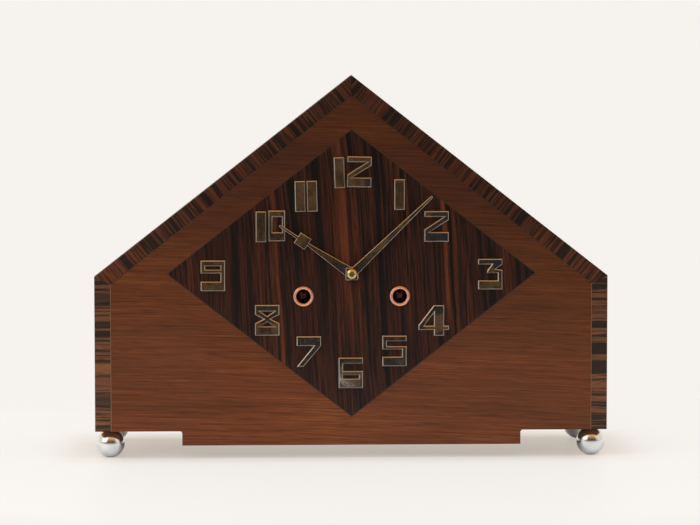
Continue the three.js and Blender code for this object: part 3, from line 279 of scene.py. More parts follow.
def woodFinish(name, look, turn=0.0):
    # the grain runs along X, turned about Y; sizes and heights are millimetres
    material, tree, shader = startMaterial(name)
    spot = addNode(tree, "ShaderNodeTexCoord").outputs["Object"]
    height = addNode(tree, "ShaderNodeSeparateXYZ", {"Vector": spot}).outputs["Z"]
    turned = addNode(tree, "ShaderNodeMapping", {"Vector": spot, "Rotation": (0, turn, 0)})
    parts = addNode(tree, "ShaderNodeSeparateXYZ", {"Vector": turned}).outputs
    # the lines wander across the grain and bow along it
    sway = unevenPattern(tree, turned, look["wanderSize"], 1.0)
    swayed = addNode(tree, "ShaderNodeMath", {0: sway, 1: 0.5}, operation="SUBTRACT")
    lift = addNode(tree, "ShaderNodeMath", {0: swayed, 1: look["wander"] * mm * 2}, operation="MULTIPLY")
    square = addNode(tree, "ShaderNodeMath", {0: parts["X"], 1: parts["X"]}, operation="MULTIPLY")
    bowed = addNode(tree, "ShaderNodeMath", {0: square, 1: look["bow"], 2: parts["Z"]},
                    operation="MULTIPLY_ADD")
    across = addNode(tree, "ShaderNodeMath", {0: bowed, 1: lift}, operation="ADD")
    grain = addNode(tree, "ShaderNodeCombineXYZ", {"X": parts["X"], "Y": parts["Y"], "Z": across})
    seed = look["seed"]
    lines = unevenPattern(tree, grain, look["lineSize"], look["lineDetail"], look["lineRough"], seed=seed)
    figure = unevenPattern(tree, grain, look["figureSize"], 2.0, turbulence=0.4, seed=seed)
    tone = addNode(tree, "ShaderNodeMath", {0: lines, 1: look["lineShare"]}, operation="MULTIPLY")
    tone = addNode(tree, "ShaderNodeMath", {0: figure, 1: 1 - look["lineShare"], 2: tone},
                   operation="MULTIPLY_ADD")
    colour = addNode(tree, "ShaderNodeValToRGB", {"Fac": tone})
    colourStops(colour, look["tones"])
    # a Mix node's colours stand at its sockets 6 and 7, and the result at its output 2
    for offset, width, fadeFrom, fadeTo, streakColour in look["streaks"]:
        # a single stripe, that far across the grain, that dies out between two heights
        away = addNode(tree, "ShaderNodeMath", {0: across, 1: offset * mm}, operation="SUBTRACT")
        away = addNode(tree, "ShaderNodeMath", {0: away}, operation="ABSOLUTE")
        share = addNode(tree, "ShaderNodeMapRange", {
            "Value": away, "From Min": width * mm * stripe["solid"],
            "From Max": width * mm * stripe["faded"], "To Min": stripe["strength"], "To Max": 0.0})
        share = addNode(tree, "ShaderNodeMath", {0: share, 1: lines}, operation="MULTIPLY")
        left = addNode(tree, "ShaderNodeMapRange", {
            "Value": height, "From Min": fadeFrom * mm, "From Max": fadeTo * mm})
        share = addNode(tree, "ShaderNodeMath", {0: share, 1: left}, operation="MULTIPLY", use_clamp=True)
        colour = addNode(tree, "ShaderNodeMix", {
            0: share, 6: colour, 7: hexColour(streakColour)}, data_type="RGBA").outputs[2]
    if "drift" in look:  # large areas of the sheet run cooler
        area = unevenPattern(tree, grain, look["driftSize"], 1.0, seed=seed)
        share = addNode(tree, "ShaderNodeMapRange", {
            "Value": area, "From Min": patternSpan["drift"][0], "From Max": patternSpan["drift"][1],
            "To Min": 0.0, "To Max": look["drift"]})
        colour = addNode(tree, "ShaderNodeMix", {
            0: share, 6: colour, 7: hexColour(look["driftColour"])}, data_type="RGBA").outputs[2]
    pores = unevenPattern(tree, grain, look["poreSize"], 1.0, seed=seed)
    poreShare = addNode(tree, "ShaderNodeMapRange", {
        "Value": pores, "From Min": patternSpan["pores"][0], "From Max": patternSpan["pores"][1],
        "To Min": 0.0, "To Max": look["poreDepth"]})
    colour = addNode(tree, "ShaderNodeMix", {
        0: poreShare, 6: colour, 7: hexColour(look["poreColour"])}, data_type="RGBA").outputs[2]
    # painted shade: the colour darkens upward from a low to a high point, down to this share
    low, high, left = look["shadeUpward"]
    share = addNode(tree, "ShaderNodeMapRange", {
        "Value": height, "From Min": low * mm, "From Max": high * mm,
        "To Min": 1.0, "To Max": left})
    colour = addNode(tree, "ShaderNodeVectorMath", {"Vector": colour, "Scale": share}, operation="SCALE")
    rough = addNode(tree, "ShaderNodeMapRange", {
        "Value": tone, "From Min": patternSpan["sheen"][0], "From Max": patternSpan["sheen"][1],
        "To Min": look["rough"][1], "To Max": look["rough"][0]})
    relief = addNode(tree, "ShaderNodeMath", {0: poreShare, 1: -1.0, 2: lines}, operation="MULTIPLY_ADD")
    bump = addNode(tree, "ShaderNodeBump", {
        "Height": relief, "Strength": 0.5, "Distance": look["relief"] * mm})
    wire(tree, shader, {
        "Base Color": colour, "Roughness": rough, "Normal": bump, "Specular IOR Level": look["gloss"],
        "Coat Weight": look["polish"], "Coat Roughness": look["polishRough"]})
    return material


# mahogany veneer, sliced and waxed over shellac: reddish brown with fine level lines and a satin sheen
mahogany = {
    "tones": [[0.30, "#482711"], [0.44, "#66371B"], [0.56, "#763F20"], [0.72, "#90532B"]],
    "lineSize": (60, 1.4, 0.95), "lineDetail": 3.0, "lineRough": 0.6, "figureSize": (150, 10, 24),
    "lineShare": 0.66, "wanderSize": (120, 60, 40), "wander": 1.2, "bow": 0.03, "seed": 0, "streaks": [],
    # painted shade, the last entry on the next line: from 30 to 215 mm up the colour darkens to 0.455 of
    # itself
    "poreSize": (18, 0.5, 0.5), "poreColour": "#34190F", "poreDepth": 0.5, "shadeUpward": (30, 215, 0.455),
    "driftSize": (190, 60, 110), "drift": 0.28, "driftColour": "#573427",
    "rough": (0.42, 0.54), "relief": 0.05, "gloss": 0.2, "polish": 0.03, "polishRough": 0.22,
}
# macassar ebony, sliced and polished: irregular near-black and red-brown stripes with a slight gloss
macassar = {
    "tones": [[0.36, "#130E0C"], [0.435, "#1A120F"], [0.46, "#331B13"], [0.485, "#432217"],
              [0.503, "#1C120F"], [0.527, "#1F1411"], [0.545, "#3F2115"], [0.575, "#502A19"],
              [0.6, "#1D120E"], [0.66, "#150F0D"]],
    "lineSize": (420, 3, 6.2), "lineDetail": 5.0, "lineRough": 0.68, "figureSize": (300, 12, 21),
    "lineShare": 0.72, "wanderSize": (110, 40, 46), "wander": 3.4, "bow": -0.1, "seed": 3.7,
    "poreSize": (9, 0.5, 0.5), "poreColour": "#120C0A", "poreDepth": 0.5,
    "rough": (0.36, 0.46), "relief": 0.02, "gloss": 0.18, "polish": 0.03, "polishRough": 0.22,
    # painted shade: from 110 to 245 mm up the colour darkens to 0.82 of itself
    "shadeUpward": (110, 245, 0.82),
    "streaks": [  # millimetres across the grain, width, heights between which it dies out, colour
        (-5.5, 6.4, 90, 170, "#6E371F"), (-85, 2.6, 100, 130, "#6E391F"), (50, 2.4, 40, 60, "#68331C"),
    ],
}
# the same wood laid across the strip: short stripes and dark patches from edge to edge; its tones are paler
# and greyer than the diamond's as a painted sheen, and it darkens upward as painted shade
macassarBand = {
    **macassar, "lineSize": (380, 3, 8.0), "lineDetail": 3.0, "lineRough": 0.56,
    "figureSize": (260, 9, 19), "lineShare": 0.6, "wanderSize": (24, 20, 20), "wander": 0.9, "bow": 0.0,
    "streaks": [], "shadeUpward": (60, 215, 0.52),
    "tones": [[0.38, "#2F241D"], [0.445, "#362A22"], [0.46, "#6A4430"], [0.487, "#7C4E36"],
              [0.495, "#392B23"], [0.517, "#32271F"], [0.527, "#5C3C2B"], [0.56, "#845539"],
              [0.575, "#3E2E25"], [0.61, "#6E4834"], [0.63, "#33271F"]],
}
# on the roof slopes a redder sheet of it, with less painted sheen and more painted shade towards the top, so
# darker
macassarRoofBand = {
    **macassarBand, "shadeUpward": (60, 215, 0.46),
    "tones": [[0.38, "#2E221B"], [0.445, "#33271F"], [0.46, "#64382A"], [0.487, "#6E3E2A"],
              [0.495, "#35281F"], [0.517, "#30251D"], [0.527, "#54301F"], [0.56, "#7A4228"],
              [0.575, "#3A2A20"], [0.61, "#643A28"], [0.63, "#2F241C"]],
}
# broad stripes that stand out on the left side strip, from its foot upwards
bandStripes = [(46, 11, -2, -1, "#382C23"), (60, 10, -2, -1, "#6E4433"), (72.5, 8, -2, -1, "#84542F"),
               (128, 9, -2, -1, "#352A22")]
# the same mahogany where hands and dust have dulled it: less sheen on the door, none on the planed back
doorMahogany = {**mahogany, "rough": (0.45, 0.58)}
backMahogany = {**mahogany, "rough": (0.45, 0.6), "polish": 0.0}
# beech stained to match, planed and oiled: dull, with short flecks
stainedBeech = {
    **mahogany, "tones": [[0.3, "#4A2A18"], [0.5, "#64402A"], [0.7, "#7A5238"]],
    "lineSize": (60, 2.5, 2.4), "figureSize": (160, 20, 18), "poreSize": (3.5, 0.6, 0.5),
    "rough": (0.5, 0.66), "relief": 0.06, "polish": 0.0,
}
# boxwood line, scraped flush: a yellow-brown thread between the dark woods, painted pale as a highlight
# along the upright edges
boxwood = {
    **mahogany, "tones": [[0.3, "#7E6044"], [0.7, "#A08060"]], "lineSize": (12, 0.8, 0.6),
    "poreDepth": 0.3, "rough": (0.42, 0.5), "polish": 0.1,
}
# the same thread painted grey-brown as in shade, for the slopes and round the diamond: only just paler than
# the woods beside it
shadedBoxwood = {**boxwood, "tones": [[0.3, "#33271D"], [0.7, "#46372B"]], "shadeUpward": (100, 300, 0.75)}


# Millimetres behind a plate's front at which its bevels start, and look wholly like bevels
bevelSpan = (0.02, 0.06)


def metalFinish(name, look, face=None):
    # polished, brushed or blacked metal; sizes are millimetres, and face is the depth of a plate's front
    material, tree, shader = startMaterial(name)
    spot = addNode(tree, "ShaderNodeTexCoord").outputs["Object"]
    cloud = unevenPattern(tree, spot, (look["cloud"],) * 3, 3.0)
    colour = addNode(tree, "ShaderNodeValToRGB", {"Fac": cloud})
    colourStops(colour, [[0.3, look["shade"]], [0.68, look["colour"]]])
    scratch = unevenPattern(tree, spot, look["grit"], 2.0)
    rough = addNode(tree, "ShaderNodeMapRange", {
        "Value": scratch, "From Min": patternSpan["sheen"][0], "From Max": patternSpan["sheen"][1],
        "To Min": look["rough"][0], "To Max": look["rough"][1]})
    if face is not None:  # what lies behind the front keeps another colour and is less smooth
        depth = addNode(tree, "ShaderNodeSeparateXYZ", {"Vector": spot}).outputs["Y"]
        bevel = addNode(tree, "ShaderNodeMapRange", {
            "Value": depth, "From Min": (face + bevelSpan[0]) * mm,
            "From Max": (face + bevelSpan[1]) * mm})
        colour = addNode(tree, "ShaderNodeMix", {
            0: bevel, 6: colour, 7: hexColour(look["bevelColour"])}, data_type="RGBA").outputs[2]
        rough = addNode(tree, "ShaderNodeMath", {0: bevel, 1: look["bevelRough"], 2: rough},
                        operation="MULTIPLY_ADD")
    waves = unevenPattern(tree, spot, (look["wave"],) * 3, 1.0)
    low = addNode(tree, "ShaderNodeBump", {
        "Height": waves, "Strength": 1.0, "Distance": look["waveDepth"] * mm})
    fine = addNode(tree, "ShaderNodeBump", {
        "Height": scratch, "Strength": 0.3, "Distance": look["gritDepth"] * mm, "Normal": low})
    wire(tree, shader, {
        "Base Color": colour, "Roughness": rough, "Normal": fine, "Metallic": look.get("metallic", 1.0)})
    return material


# chrome plate on brass, buffed: a cool mirror with faint waves from the wheel, softened by fine scuffs
chromePlate = {
    "colour": "#F0F1F1", "shade": "#E2E3E3", "cloud": 9, "rough": (0.2, 0.235), "grit": (1.2, 1.2, 1.2),
    "gritDepth": 0.0006, "wave": 18, "waveDepth": 0.05,
}
# the same on thin pressed numerals and hands: greyer, and each one lies a little unevenly
thinChrome = {
    **chromePlate, "colour": "#C0B9B1", "shade": "#AAA49C", "rough": (0.05, 0.12), "gritDepth": 0.0,
    "grit": (0.9, 0.9, 0.9), "wave": 27, "waveDepth": 0.66, "bevelColour": "#C2B8AC", "bevelRough": 0.24,
}
# copper-plated brass eyelet, pressed: warm pink mirror with a soft haze, and painted shade, nearly black, on
# the sleeve inside the hole
copperPlate = {
    "colour": "#FFC8A8", "shade": "#FFB290", "cloud": 3, "rough": (0.34, 0.44), "grit": (0.6, 0.6, 0.6),
    # painted shade: the bevel colour here is the dark inside of the hole
    "gritDepth": 0.004, "wave": 6, "waveDepth": 0.03, "bevelColour": "#2A1A12", "bevelRough": 0.1,
}
# turned and lacquered brass: yellow, with fine lathe lines
turnedBrass = {
    "colour": "#D2BE82", "shade": "#C0A86A", "cloud": 12, "rough": (0.2, 0.34), "grit": (0.5, 0.5, 0.5),
    "gritDepth": 0.004, "wave": 9, "waveDepth": 0.03,
}
# phosphor bronze drawn to rod: browner, with scratches along it
drawnBronze = {**turnedBrass, "colour": "#B08A5C", "shade": "#8A6A44", "grit": (20, 0.3, 0.3)}
# rolled clock brass, stoned straight: duller, with long fine scratches
rolledBrass = {
    "colour": "#CDB070", "shade": "#BD9E5C", "cloud": 40, "rough": (0.3, 0.42), "grit": (14, 0.35, 0.35),
    "gritDepth": 0.006, "wave": 40, "waveDepth": 0.02,
}
# hardened and polished steel: grey with a blue-brown cast
polishedSteel = {
    "colour": "#A8A8A6", "shade": "#7C7A78", "cloud": 4, "rough": (0.2, 0.36), "grit": (0.4, 3, 0.4),
    "gritDepth": 0.004, "wave": 8, "waveDepth": 0.02,
}
# the same steel, darker and browner
darkBrownSteel = {**polishedSteel, "colour": "#8A6248", "shade": "#553A2A", "rough": (0.34, 0.5)}
# cast iron, black japanned: nearly black with a grainy dull gloss
japannedIron = {
    "colour": "#2E2D2C", "shade": "#1E1D1D", "cloud": 3, "rough": (0.4, 0.6), "grit": (0.8, 0.8, 0.8),
    "gritDepth": 0.03, "wave": 8, "waveDepth": 0.05, "metallic": 0.4,
}
chromeMirror = metalFinish("chromePlateBuffed", chromePlate)
numeralChrome = metalFinish("chromePlateThin", thinChrome, face=nodeBox("numeral_12_one")[0].y)
copperEyelet = metalFinish("copperPlatePressed", copperPlate, face=dialFace + 0.2)
brassTurned = metalFinish("brassTurned", turnedBrass)
brassRolled = metalFinish("brassRolled", rolledBrass)
steelPolished = metalFinish("steelPolished", polishedSteel)
steelDarkBrown = metalFinish("steelDarkBrown", darkBrownSteel)
ironBlack = metalFinish("castIronJapanned", japannedIron)
grainLean = {"field": math.radians(-2.2), "dial": upright + math.radians(2.6)}
fieldWood = woodFinish("mahoganyVeneerWaxed", mahogany, grainLean["field"])
dialWood = woodFinish("macassarVeneerPolished", macassar, grainLean["dial"])
doorWood = woodFinish("mahoganyDoorWaxed", doorMahogany)
backWood = woodFinish("mahoganyBackPlaned", backMahogany)
frontWood = woodFinish("stainedBeechPlaned", stainedBeech)
highlitThreadWood = woodFinish("boxwoodThread", boxwood)
shadedThreadWood = woodFinish("boxwoodThreadShaded", shadedBoxwood)
print("finishes mixed")


# Banding, lines and shell boards
veneer = 1  # thickness of every strip and line
banding = {"width": 12.6, "line": 0.42, "arris": 0.45, "seam": 0.12, "step": 0.02, "proud": 0.03,
           "seed": 3.7}
shell = {"width": 10, "inset": 5, "arris": 0.3, "seam": 0.16}
sideNames = ["side_right", "roof_right", "roof_left", "side_left"]


def gableSide(index):  # its two ends, its direction, and the direction into the case
    start, end = gableCorners[index], gableCorners[index + 1]
    along = (end - start).normalized()
    return start, end, along, Vector((-along.y, along.x))


def layBoard(name, index, inset, width, depths, seam, lowEnd):
    # a straight board along one side of the gable, cut off at its mitres and at its lower end
    front, back = depths
    start, end, along, inward = gableSide(index)
    middle = (start + end) / 2 + inward * (inset + width / 2)
    deselectAll()
    bpy.ops.mesh.primitive_cube_add(
        size=1,
        location=Vector((middle.x, (front + back) / 2, middle.y)) * mm,
        rotation=(0, -math.atan2(along.y, along.x), 0),
        scale=Vector(((end - start).length + 2 * (inset + width), back - front, width)) * mm,
    )
    board = nameNewPiece(name)
    bpy.ops.object.mode_set(mode="EDIT")
    for corner, sign in ((index, -1), (index + 1, 1)):
        if 0 < corner < len(gableCorners) - 1:  # a mitre, half a seam short of the corner
            other = corner - 1 if sign < 0 else corner + 1
            neighbour = (gableCorners[corner] - gableCorners[other]).normalized()
            outward = (along * sign - neighbour).normalized()
            place = gableCorners[corner] - outward * seam / 2
        else:  # the lower end, sawn level
            outward = Vector((0, -1))
            place = Vector((gableCorners[corner].x, lowEnd))
        bpy.ops.mesh.select_all(action="SELECT")
        bpy.ops.mesh.bisect(
            plane_co=Vector((place.x, 0, place.y)) * mm,
            plane_no=(outward.x, 0, outward.y),
            use_fill=True,
            clear_outer=True,
        )
    bpy.ops.object.mode_set(mode="OBJECT")
    return board


def roundArris(board, index, inset, width, segments, depth=None):
    # rounds the long outer edges of a board, at one depth or at both
    start, end, along, inward = gableSide(index)
    near, parallel = 0.05, 0.99
    work(board)

    def outerEdge(middle, direction):
        lies = Vector((middle.x, middle.z)) - start
        level = abs(lies.dot(inward) - inset) < near
        runs = abs(direction.x * along.x + direction.z * along.y) > parallel
        return level and runs and (depth is None or abs(middle.y - depth) < near)

    pickEdges(board, outerEdge)
    bpy.ops.mesh.bevel(offset=width * mm, segments=segments, affect="EDGES")
    bpy.ops.object.mode_set(mode="OBJECT")
    shadeSoft(board)


for index, side in enumerate(sideNames):
    start, end = gableCorners[index], gableCorners[index + 1]
    slope = -math.atan2(end.y - start.y, end.x - start.x)
    onWall = side.startswith("side")
    face = (dialFace, dialFace + veneer)
    strip = layBoard("band_" + side, index, 0, banding["width"], face, banding["seam"], caseLow.z)
    roundArris(strip, index, 0, banding["arris"], 3, dialFace)
    sheet = macassarBand if onWall else macassarRoofBand
    stripes = bandStripes if side == "side_left" else []
    cut = {**sheet, "seed": banding["seed"] + 5 * index, "streaks": stripes}
    crossBand = woodFinish("macassarCrossBand_" + side, cut, upright - slope)
    fit(strip, "case", crossBand, ["banding"])
    inset = banding["width"] + banding["step"]
    face = (dialFace - banding["proud"], dialFace + veneer)
    thread = layBoard("line_" + side, index, inset, banding["line"], face, 0, caseLow.z)
    # painted light: the upright threads take the pale highlit copy of the thread, the sloping ones the copy
    # painted as in shade
    fit(thread, "case", highlitThreadWood if onWall else shadedThreadWood)
    low, high = nodeBox(side)
    panel = layBoard("board_" + side, index, shell["inset"], shell["width"], (low.y, high.y), shell["seam"],
                     nodeBox("base_board")[1].z + shell["seam"] / 2)
    roundArris(panel, index, shell["inset"], shell["arris"], 2)
    fit(panel, "case", woodFinish("mahoganyBoard_" + side, mahogany, -slope), [side])
print("banding and boards laid")


# Line round the diamond
dialLine = {"width": 0.7, "proud": 0.04}


def diamondPrism(name, grow, front, back):  # four-sided, standing on its point
    return addPrism(name, (0, (front + back) / 2, dialCentre), dialHigh.x + grow / math.sin(roofPitch),
                    back - front, 4, (1, math.tan(roofPitch), 1))


def layDialLine():
    line = diamondPrism("line_diamond", dialLine["width"], dialFace - dialLine["proud"], dialFace + veneer)
    boolean(line, diamondPrism("middle", 0, dialFace - 2, dialFace + 3), "DIFFERENCE")
    fit(line, "case", shadedThreadWood)


layDialLine()


# Feet
ballFoot = {"radius": 11.5, "rest": 2.5, "seat": 4, "stud": 2}


def makeFeet():
    low, high = nodeBox("foot_front_left")
    place = Vector(((low.x + high.x) / 2, (low.y + high.y) / 2, 0))
    radius = ballFoot["radius"]
    start = math.degrees(math.asin(ballFoot["rest"] / radius))
    end = 180 - math.degrees(math.asin(ballFoot["seat"] / radius))
    ball = arc((0, radius * math.cos(math.radians(start))), radius, start, end, 30)
    top = ball[-1][1]
    profile = [(0, 0), *ball, (ballFoot["stud"], top), (ballFoot["stud"], high.z), (0, high.z)]
    first = turnOnLathe("ball_foot_front_left", profile, place, (0, 0, 1), 64)
    for name in ("front_left", "front_right", "rear_left", "rear_right"):
        low, high = nodeBox("foot_" + name)
        x, y = (low.x + high.x) / 2 - place.x, (low.y + high.y) / 2 - place.y
        foot = first if name == "front_left" else copyPiece(first, "ball_foot_" + name, (x, y, 0))
        fit(foot, "case", chromeMirror, ["foot_" + name])


makeFeet()


# Grommets and hand nut
eyelet = {"outer": 8.1, "bore": 5.65, "wall": 0.7, "crown": 1.4, "depth": 10}
handNut = {"radius": 4, "bore": 1.6, "length": 2.9}


def makeGrommets():
    middle = (eyelet["outer"] + eyelet["bore"]) / 2
    half = (eyelet["outer"] - eyelet["bore"]) / 2
    steps = 16
    crown = []
    for step in range(steps + 1):
        angle = math.pi * step / steps
        crown.append((middle + half * math.cos(angle), eyelet["crown"] * math.sin(angle)))
    sleeve = eyelet["bore"] + eyelet["wall"]
    profile = [*crown, (eyelet["bore"], -eyelet["depth"]), (sleeve, -eyelet["depth"]), (sleeve, 0), crown[0]]
    for name in ("grommet_left", "grommet_right"):
        low, high = nodeBox(name)
        place = ((low.x + high.x) / 2, dialFace, (low.z + high.z) / 2)
        ring = turnOnLathe(name.replace("grommet", "eyelet"), profile, place, (0, -1, 0), 64)
        fit(ring, "case", copperEyelet, [name])


def makeHandNut():
    low, high = nodeBox("hand_nut")
    place = ((low.x + high.x) / 2, high.y, (low.z + high.z) / 2)
    radius, bore, tall = handNut["radius"], handNut["bore"], handNut["length"]
    profile = [  # a chamfered foot, a shoulder, and a waist up to the drilled top
        (bore, 0), (radius - 0.25, 0), (radius, 0.25), (radius, tall * 0.5), (radius - 0.12, tall * 0.6),
        (radius * 0.84, tall * 0.74), (radius * 0.66, tall * 0.8), (radius * 0.6, tall * 0.88),
        (radius * 0.52, tall), (bore + 0.15, tall), (bore, tall - 0.2), (bore, 0),
    ]
    nut = turnOnLathe("hand_nut_turned", profile, place, (0, -1, 0), 64)
    fit(nut, "minute_hand", brassTurned, ["hand_nut"])


makeGrommets()
makeHandNut()
print("feet, eyelets and nut turned")


# Back door, hinges and catch
door = {"soundHole": 5, "circle": 18, "count": 6, "arris": 0.5, "spindleHole": 1.8, "drill": 20}
catch = {"radius": 5.5, "spindle": 1.5, "clear": 0.3, "tongue": 3, "thick": 1.5}
hinge = {"barrel": 2.2, "axis": 2.5, "leaf": 1.2, "gap": 0.3, "clear": 0.4, "arris": 0.15}
hingeScrew = {"radius": 1.6, "sunk": 1, "crown": 0.38, "slot": 0.2, "slotFloor": 0.02, "side": 4.2, "end": 5}


def makeDoor():
    low, high = nodeBox("back_door")
    panel = addBlock("door_panel", low, high)
    middle = (low + high) / 2
    holes = [(middle.x, middle.z)]
    for i in range(door["count"]):
        angle = 2 * math.pi * i / door["count"]
        holes.append((middle.x + door["circle"] * math.cos(angle),
                      middle.z + door["circle"] * math.sin(angle)))
    catchLow, catchHigh = nodeBox("door_catch")
    spindle = ((catchLow.x + catchHigh.x) / 2, catchHigh.z - catch["radius"])
    for (x, z), radius in [(hole, door["soundHole"]) for hole in holes] + [(spindle, door["spindleHole"])]:
        boolean(panel, addPrism("drill", (x, middle.y, z), radius, door["drill"], 40), "DIFFERENCE")
    softenEdges(panel, door["arris"])
    fit(panel, "door", doorWood, ["back_door"])


def makeHinge(node, body, knuckles, reach):  # a plate with its share of the barrel
    low, high = nodeBox(node)
    back = nodeBox("back_frame")[1].y
    front = back + hinge["leaf"]
    radius = hinge["barrel"]
    axis = Vector((nodeBox("upper_hinge_case_leaf")[0].x + radius, back + hinge["axis"], 0))
    leaf = addBlock(node + "_plate", (reach[0], back, low.z), (reach[1], front, high.z))
    for bottom, top, keep in knuckles(low.z, high.z):
        left, right = min(axis.x, keep), max(axis.x, keep)
        boolean(leaf, addBlock("arm", (left, back, bottom), (right, front, top)), "UNION")
        profile = [(0, bottom), (radius, bottom), (radius, top), (0, top)]
        boolean(leaf, turnOnLathe("barrel", profile, axis, (0, 0, 1), 32), "UNION")
    softenEdges(leaf, hinge["arris"])
    fit(leaf, body, brassTurned, [node])


def caseKnuckles(low, high):  # the outer two thirds, and how far their arms reach
    third = (high - low) / 3
    edge = nodeBox("upper_hinge_case_leaf")[0].x + 2 * hinge["barrel"] + hinge["clear"]
    return [(low, low + third, edge), (high - third, high, edge)]


def doorKnuckles(low, high):  # the middle third, with a gap above and below
    third = (high - low) / 3
    edge = nodeBox("upper_hinge_door_leaf")[1].x - 2 * hinge["barrel"] - hinge["clear"]
    return [(low + third + hinge["gap"], high - third - hinge["gap"], edge)]


def makeHinges():
    caseBox, doorBox = nodeBox("upper_hinge_case_leaf"), nodeBox("upper_hinge_door_leaf")
    caseReach = (caseBox[0].x + 2 * hinge["barrel"], caseBox[1].x)
    doorReach = (doorBox[0].x, doorBox[1].x - 2 * hinge["barrel"] - hinge["gap"])
    for level in ("upper", "lower"):
        makeHinge(level + "_hinge_case_leaf", "case", caseKnuckles, caseReach)
        makeHinge(level + "_hinge_door_leaf", "door", doorKnuckles, doorReach)


def makeCatch():
    low, high = nodeBox("door_catch")
    radius, spindle = catch["radius"], catch["spindle"]
    centre = Vector(((low.x + high.x) / 2, 0, high.z - radius))
    back = nodeBox("back_frame")[1].y + catch["clear"]
    length = high.y - back
    profile = [  # spindle, foot, waist and round grip
        (0, low.y), (spindle, low.y), (spindle, back), (radius * 0.6, back), (radius * 0.62, back + 0.5),
        (radius * 0.47, back + length * 0.22), (radius * 0.45, back + length * 0.34),
        (radius * 0.8, back + length * 0.47), (radius * 0.97, back + length * 0.58),
        (radius, back + length * 0.68), (radius * 0.97, back + length * 0.78),
        (radius * 0.86, back + length * 0.9), (radius * 0.66, back + length * 0.98),
        (radius * 0.5, high.y), (0, high.y),
    ]
    knob = turnOnLathe("catch_knob", profile, centre, (0, 1, 0), 48)
    half = catch["tongue"]
    tongue = addBlock("tongue", (centre.x - half, low.y, low.z),
                      (centre.x + half, low.y + catch["thick"], centre.z + half))
    boolean(knob, tongue, "UNION")
    shadeSoft(knob)
    fit(knob, "catch", brassTurned, ["door_catch"])


def makeScrews():
    # raised countersunk brass screws with a slot, in the hinge leaves
    face = nodeBox("back_frame")[1].y + hinge["leaf"]
    radius, sunk = hingeScrew["radius"], hingeScrew["sunk"]
    profile = [(0, -sunk), (radius * 0.6, -sunk), (radius, 0), (radius * 0.98, 0.12), (radius * 0.6, 0.3),
               (0, hingeScrew["crown"])]
    first = turnOnLathe("hinge_screw", profile, (0, face, 0), (0, 1, 0), 28)
    half = hingeScrew["slot"]
    slotTool = addBlock("slot", (-3, face + hingeScrew["slotFloor"], -half), (3, face + 1, half))
    boolean(first, slotTool, "DIFFERENCE")
    shadeSoft(first)
    count = 0
    for level in ("upper", "lower"):
        for leaf, body in (("case", "case"), ("door", "door")):
            low, high = nodeBox(f"{level}_hinge_{leaf}_leaf")
            x = high.x - hingeScrew["side"] if leaf == "case" else low.x + hingeScrew["side"]
            for z in (low.z + hingeScrew["end"], high.z - hingeScrew["end"]):
                count += 1
                screw = copyPiece(first, f"hinge_screw_{count}", (x, 0, z))
                fit(screw, body, brassTurned)
    bpy.data.objects.remove(first)


makeDoor()
makeHinges()
makeCatch()
makeScrews()
print("back door hung")


# Pendulum and gong
swing = {"rod": 1.4, "foot": 1.2, "rodTop": 14, "top": 1, "length": 126.8, "bob": 19, "thick": 9, "rim": 0.9}
rating = {"bore": 1.45, "radius": 3, "length": 4, "chamfer": 0.4, "gap": 0.3}
suspension = {"half": 2, "deep": 2.5, "blockLow": 17, "blockHigh": 11, "strip": 0.1, "stripLow": 12}


def makePendulum():
    low, high = nodeBox("pendulum")
    depth = (low.y + high.y) / 2
    top = high.z - swing["top"]
    bobCentre = top - swing["length"]
    rodTop = top - swing["rodTop"]
    radius = swing["rod"]
    profile = [(0, low.z), (swing["foot"], low.z), (radius, low.z + 0.3), (radius, rodTop), (0, rodTop)]
    rod = turnOnLathe("pendulum_rod", profile, (0, depth, 0), (0, 0, 1), 24)
    fit(rod, "pendulum", steelPolished, ["pendulum"])
    # a bob like a lens, with a narrow flat rim
    half, rim = swing["thick"] / 2, swing["rim"]
    face = [(0, -half)]
    for share in (0.3, 0.6, 0.8, 0.9, 0.96):
        face.append((swing["bob"] * share, -half * math.sqrt(1 - share ** 2 * 0.86)))
    profile = [*face, (swing["bob"], -rim), (swing["bob"], rim), *[(r, -h) for r, h in reversed(face)]]
    bob = turnOnLathe("pendulum_bob", profile, (0, depth, bobCentre), (0, 1, 0), 72)
    fit(bob, "pendulum", brassTurned)
    bore, radius, tall, chamfer = (rating[key] for key in ("bore", "radius", "length", "chamfer"))
    profile = [(bore, -tall), (radius - chamfer, -tall), (radius, chamfer - tall), (radius, -chamfer),
               (radius - chamfer, 0), (bore, 0), (bore, -tall)]
    place = (0, depth, bobCentre - swing["bob"] - rating["gap"])
    nut = turnOnLathe("rating_nut", profile, place, (0, 0, 1), 36)
    fit(nut, "pendulum", brassTurned)
    half, deep, strip = suspension["half"], suspension["deep"], suspension["strip"]
    block = addBlock("suspension_block", (-half, depth - deep, top - suspension["blockLow"]),
                     (half, depth + deep, top - suspension["blockHigh"]))
    softenEdges(block, 0.3)
    fit(block, "pendulum", brassTurned)
    spring = addBlock("suspension_spring", (-strip, depth - deep, top - suspension["stripLow"]),
                      (strip, depth + deep, top + 1))
    softenEdges(spring, 0.04, 1)
    fit(spring, "pendulum", steelPolished)


gong = {"block": 24, "inset": 2, "rise": 1.2, "arris": 0.6, "rod": 1.5, "rodTip": 1.2, "rodStart": 22,
        "rodDrop": 6, "rodDepths": (4, 11, 18)}


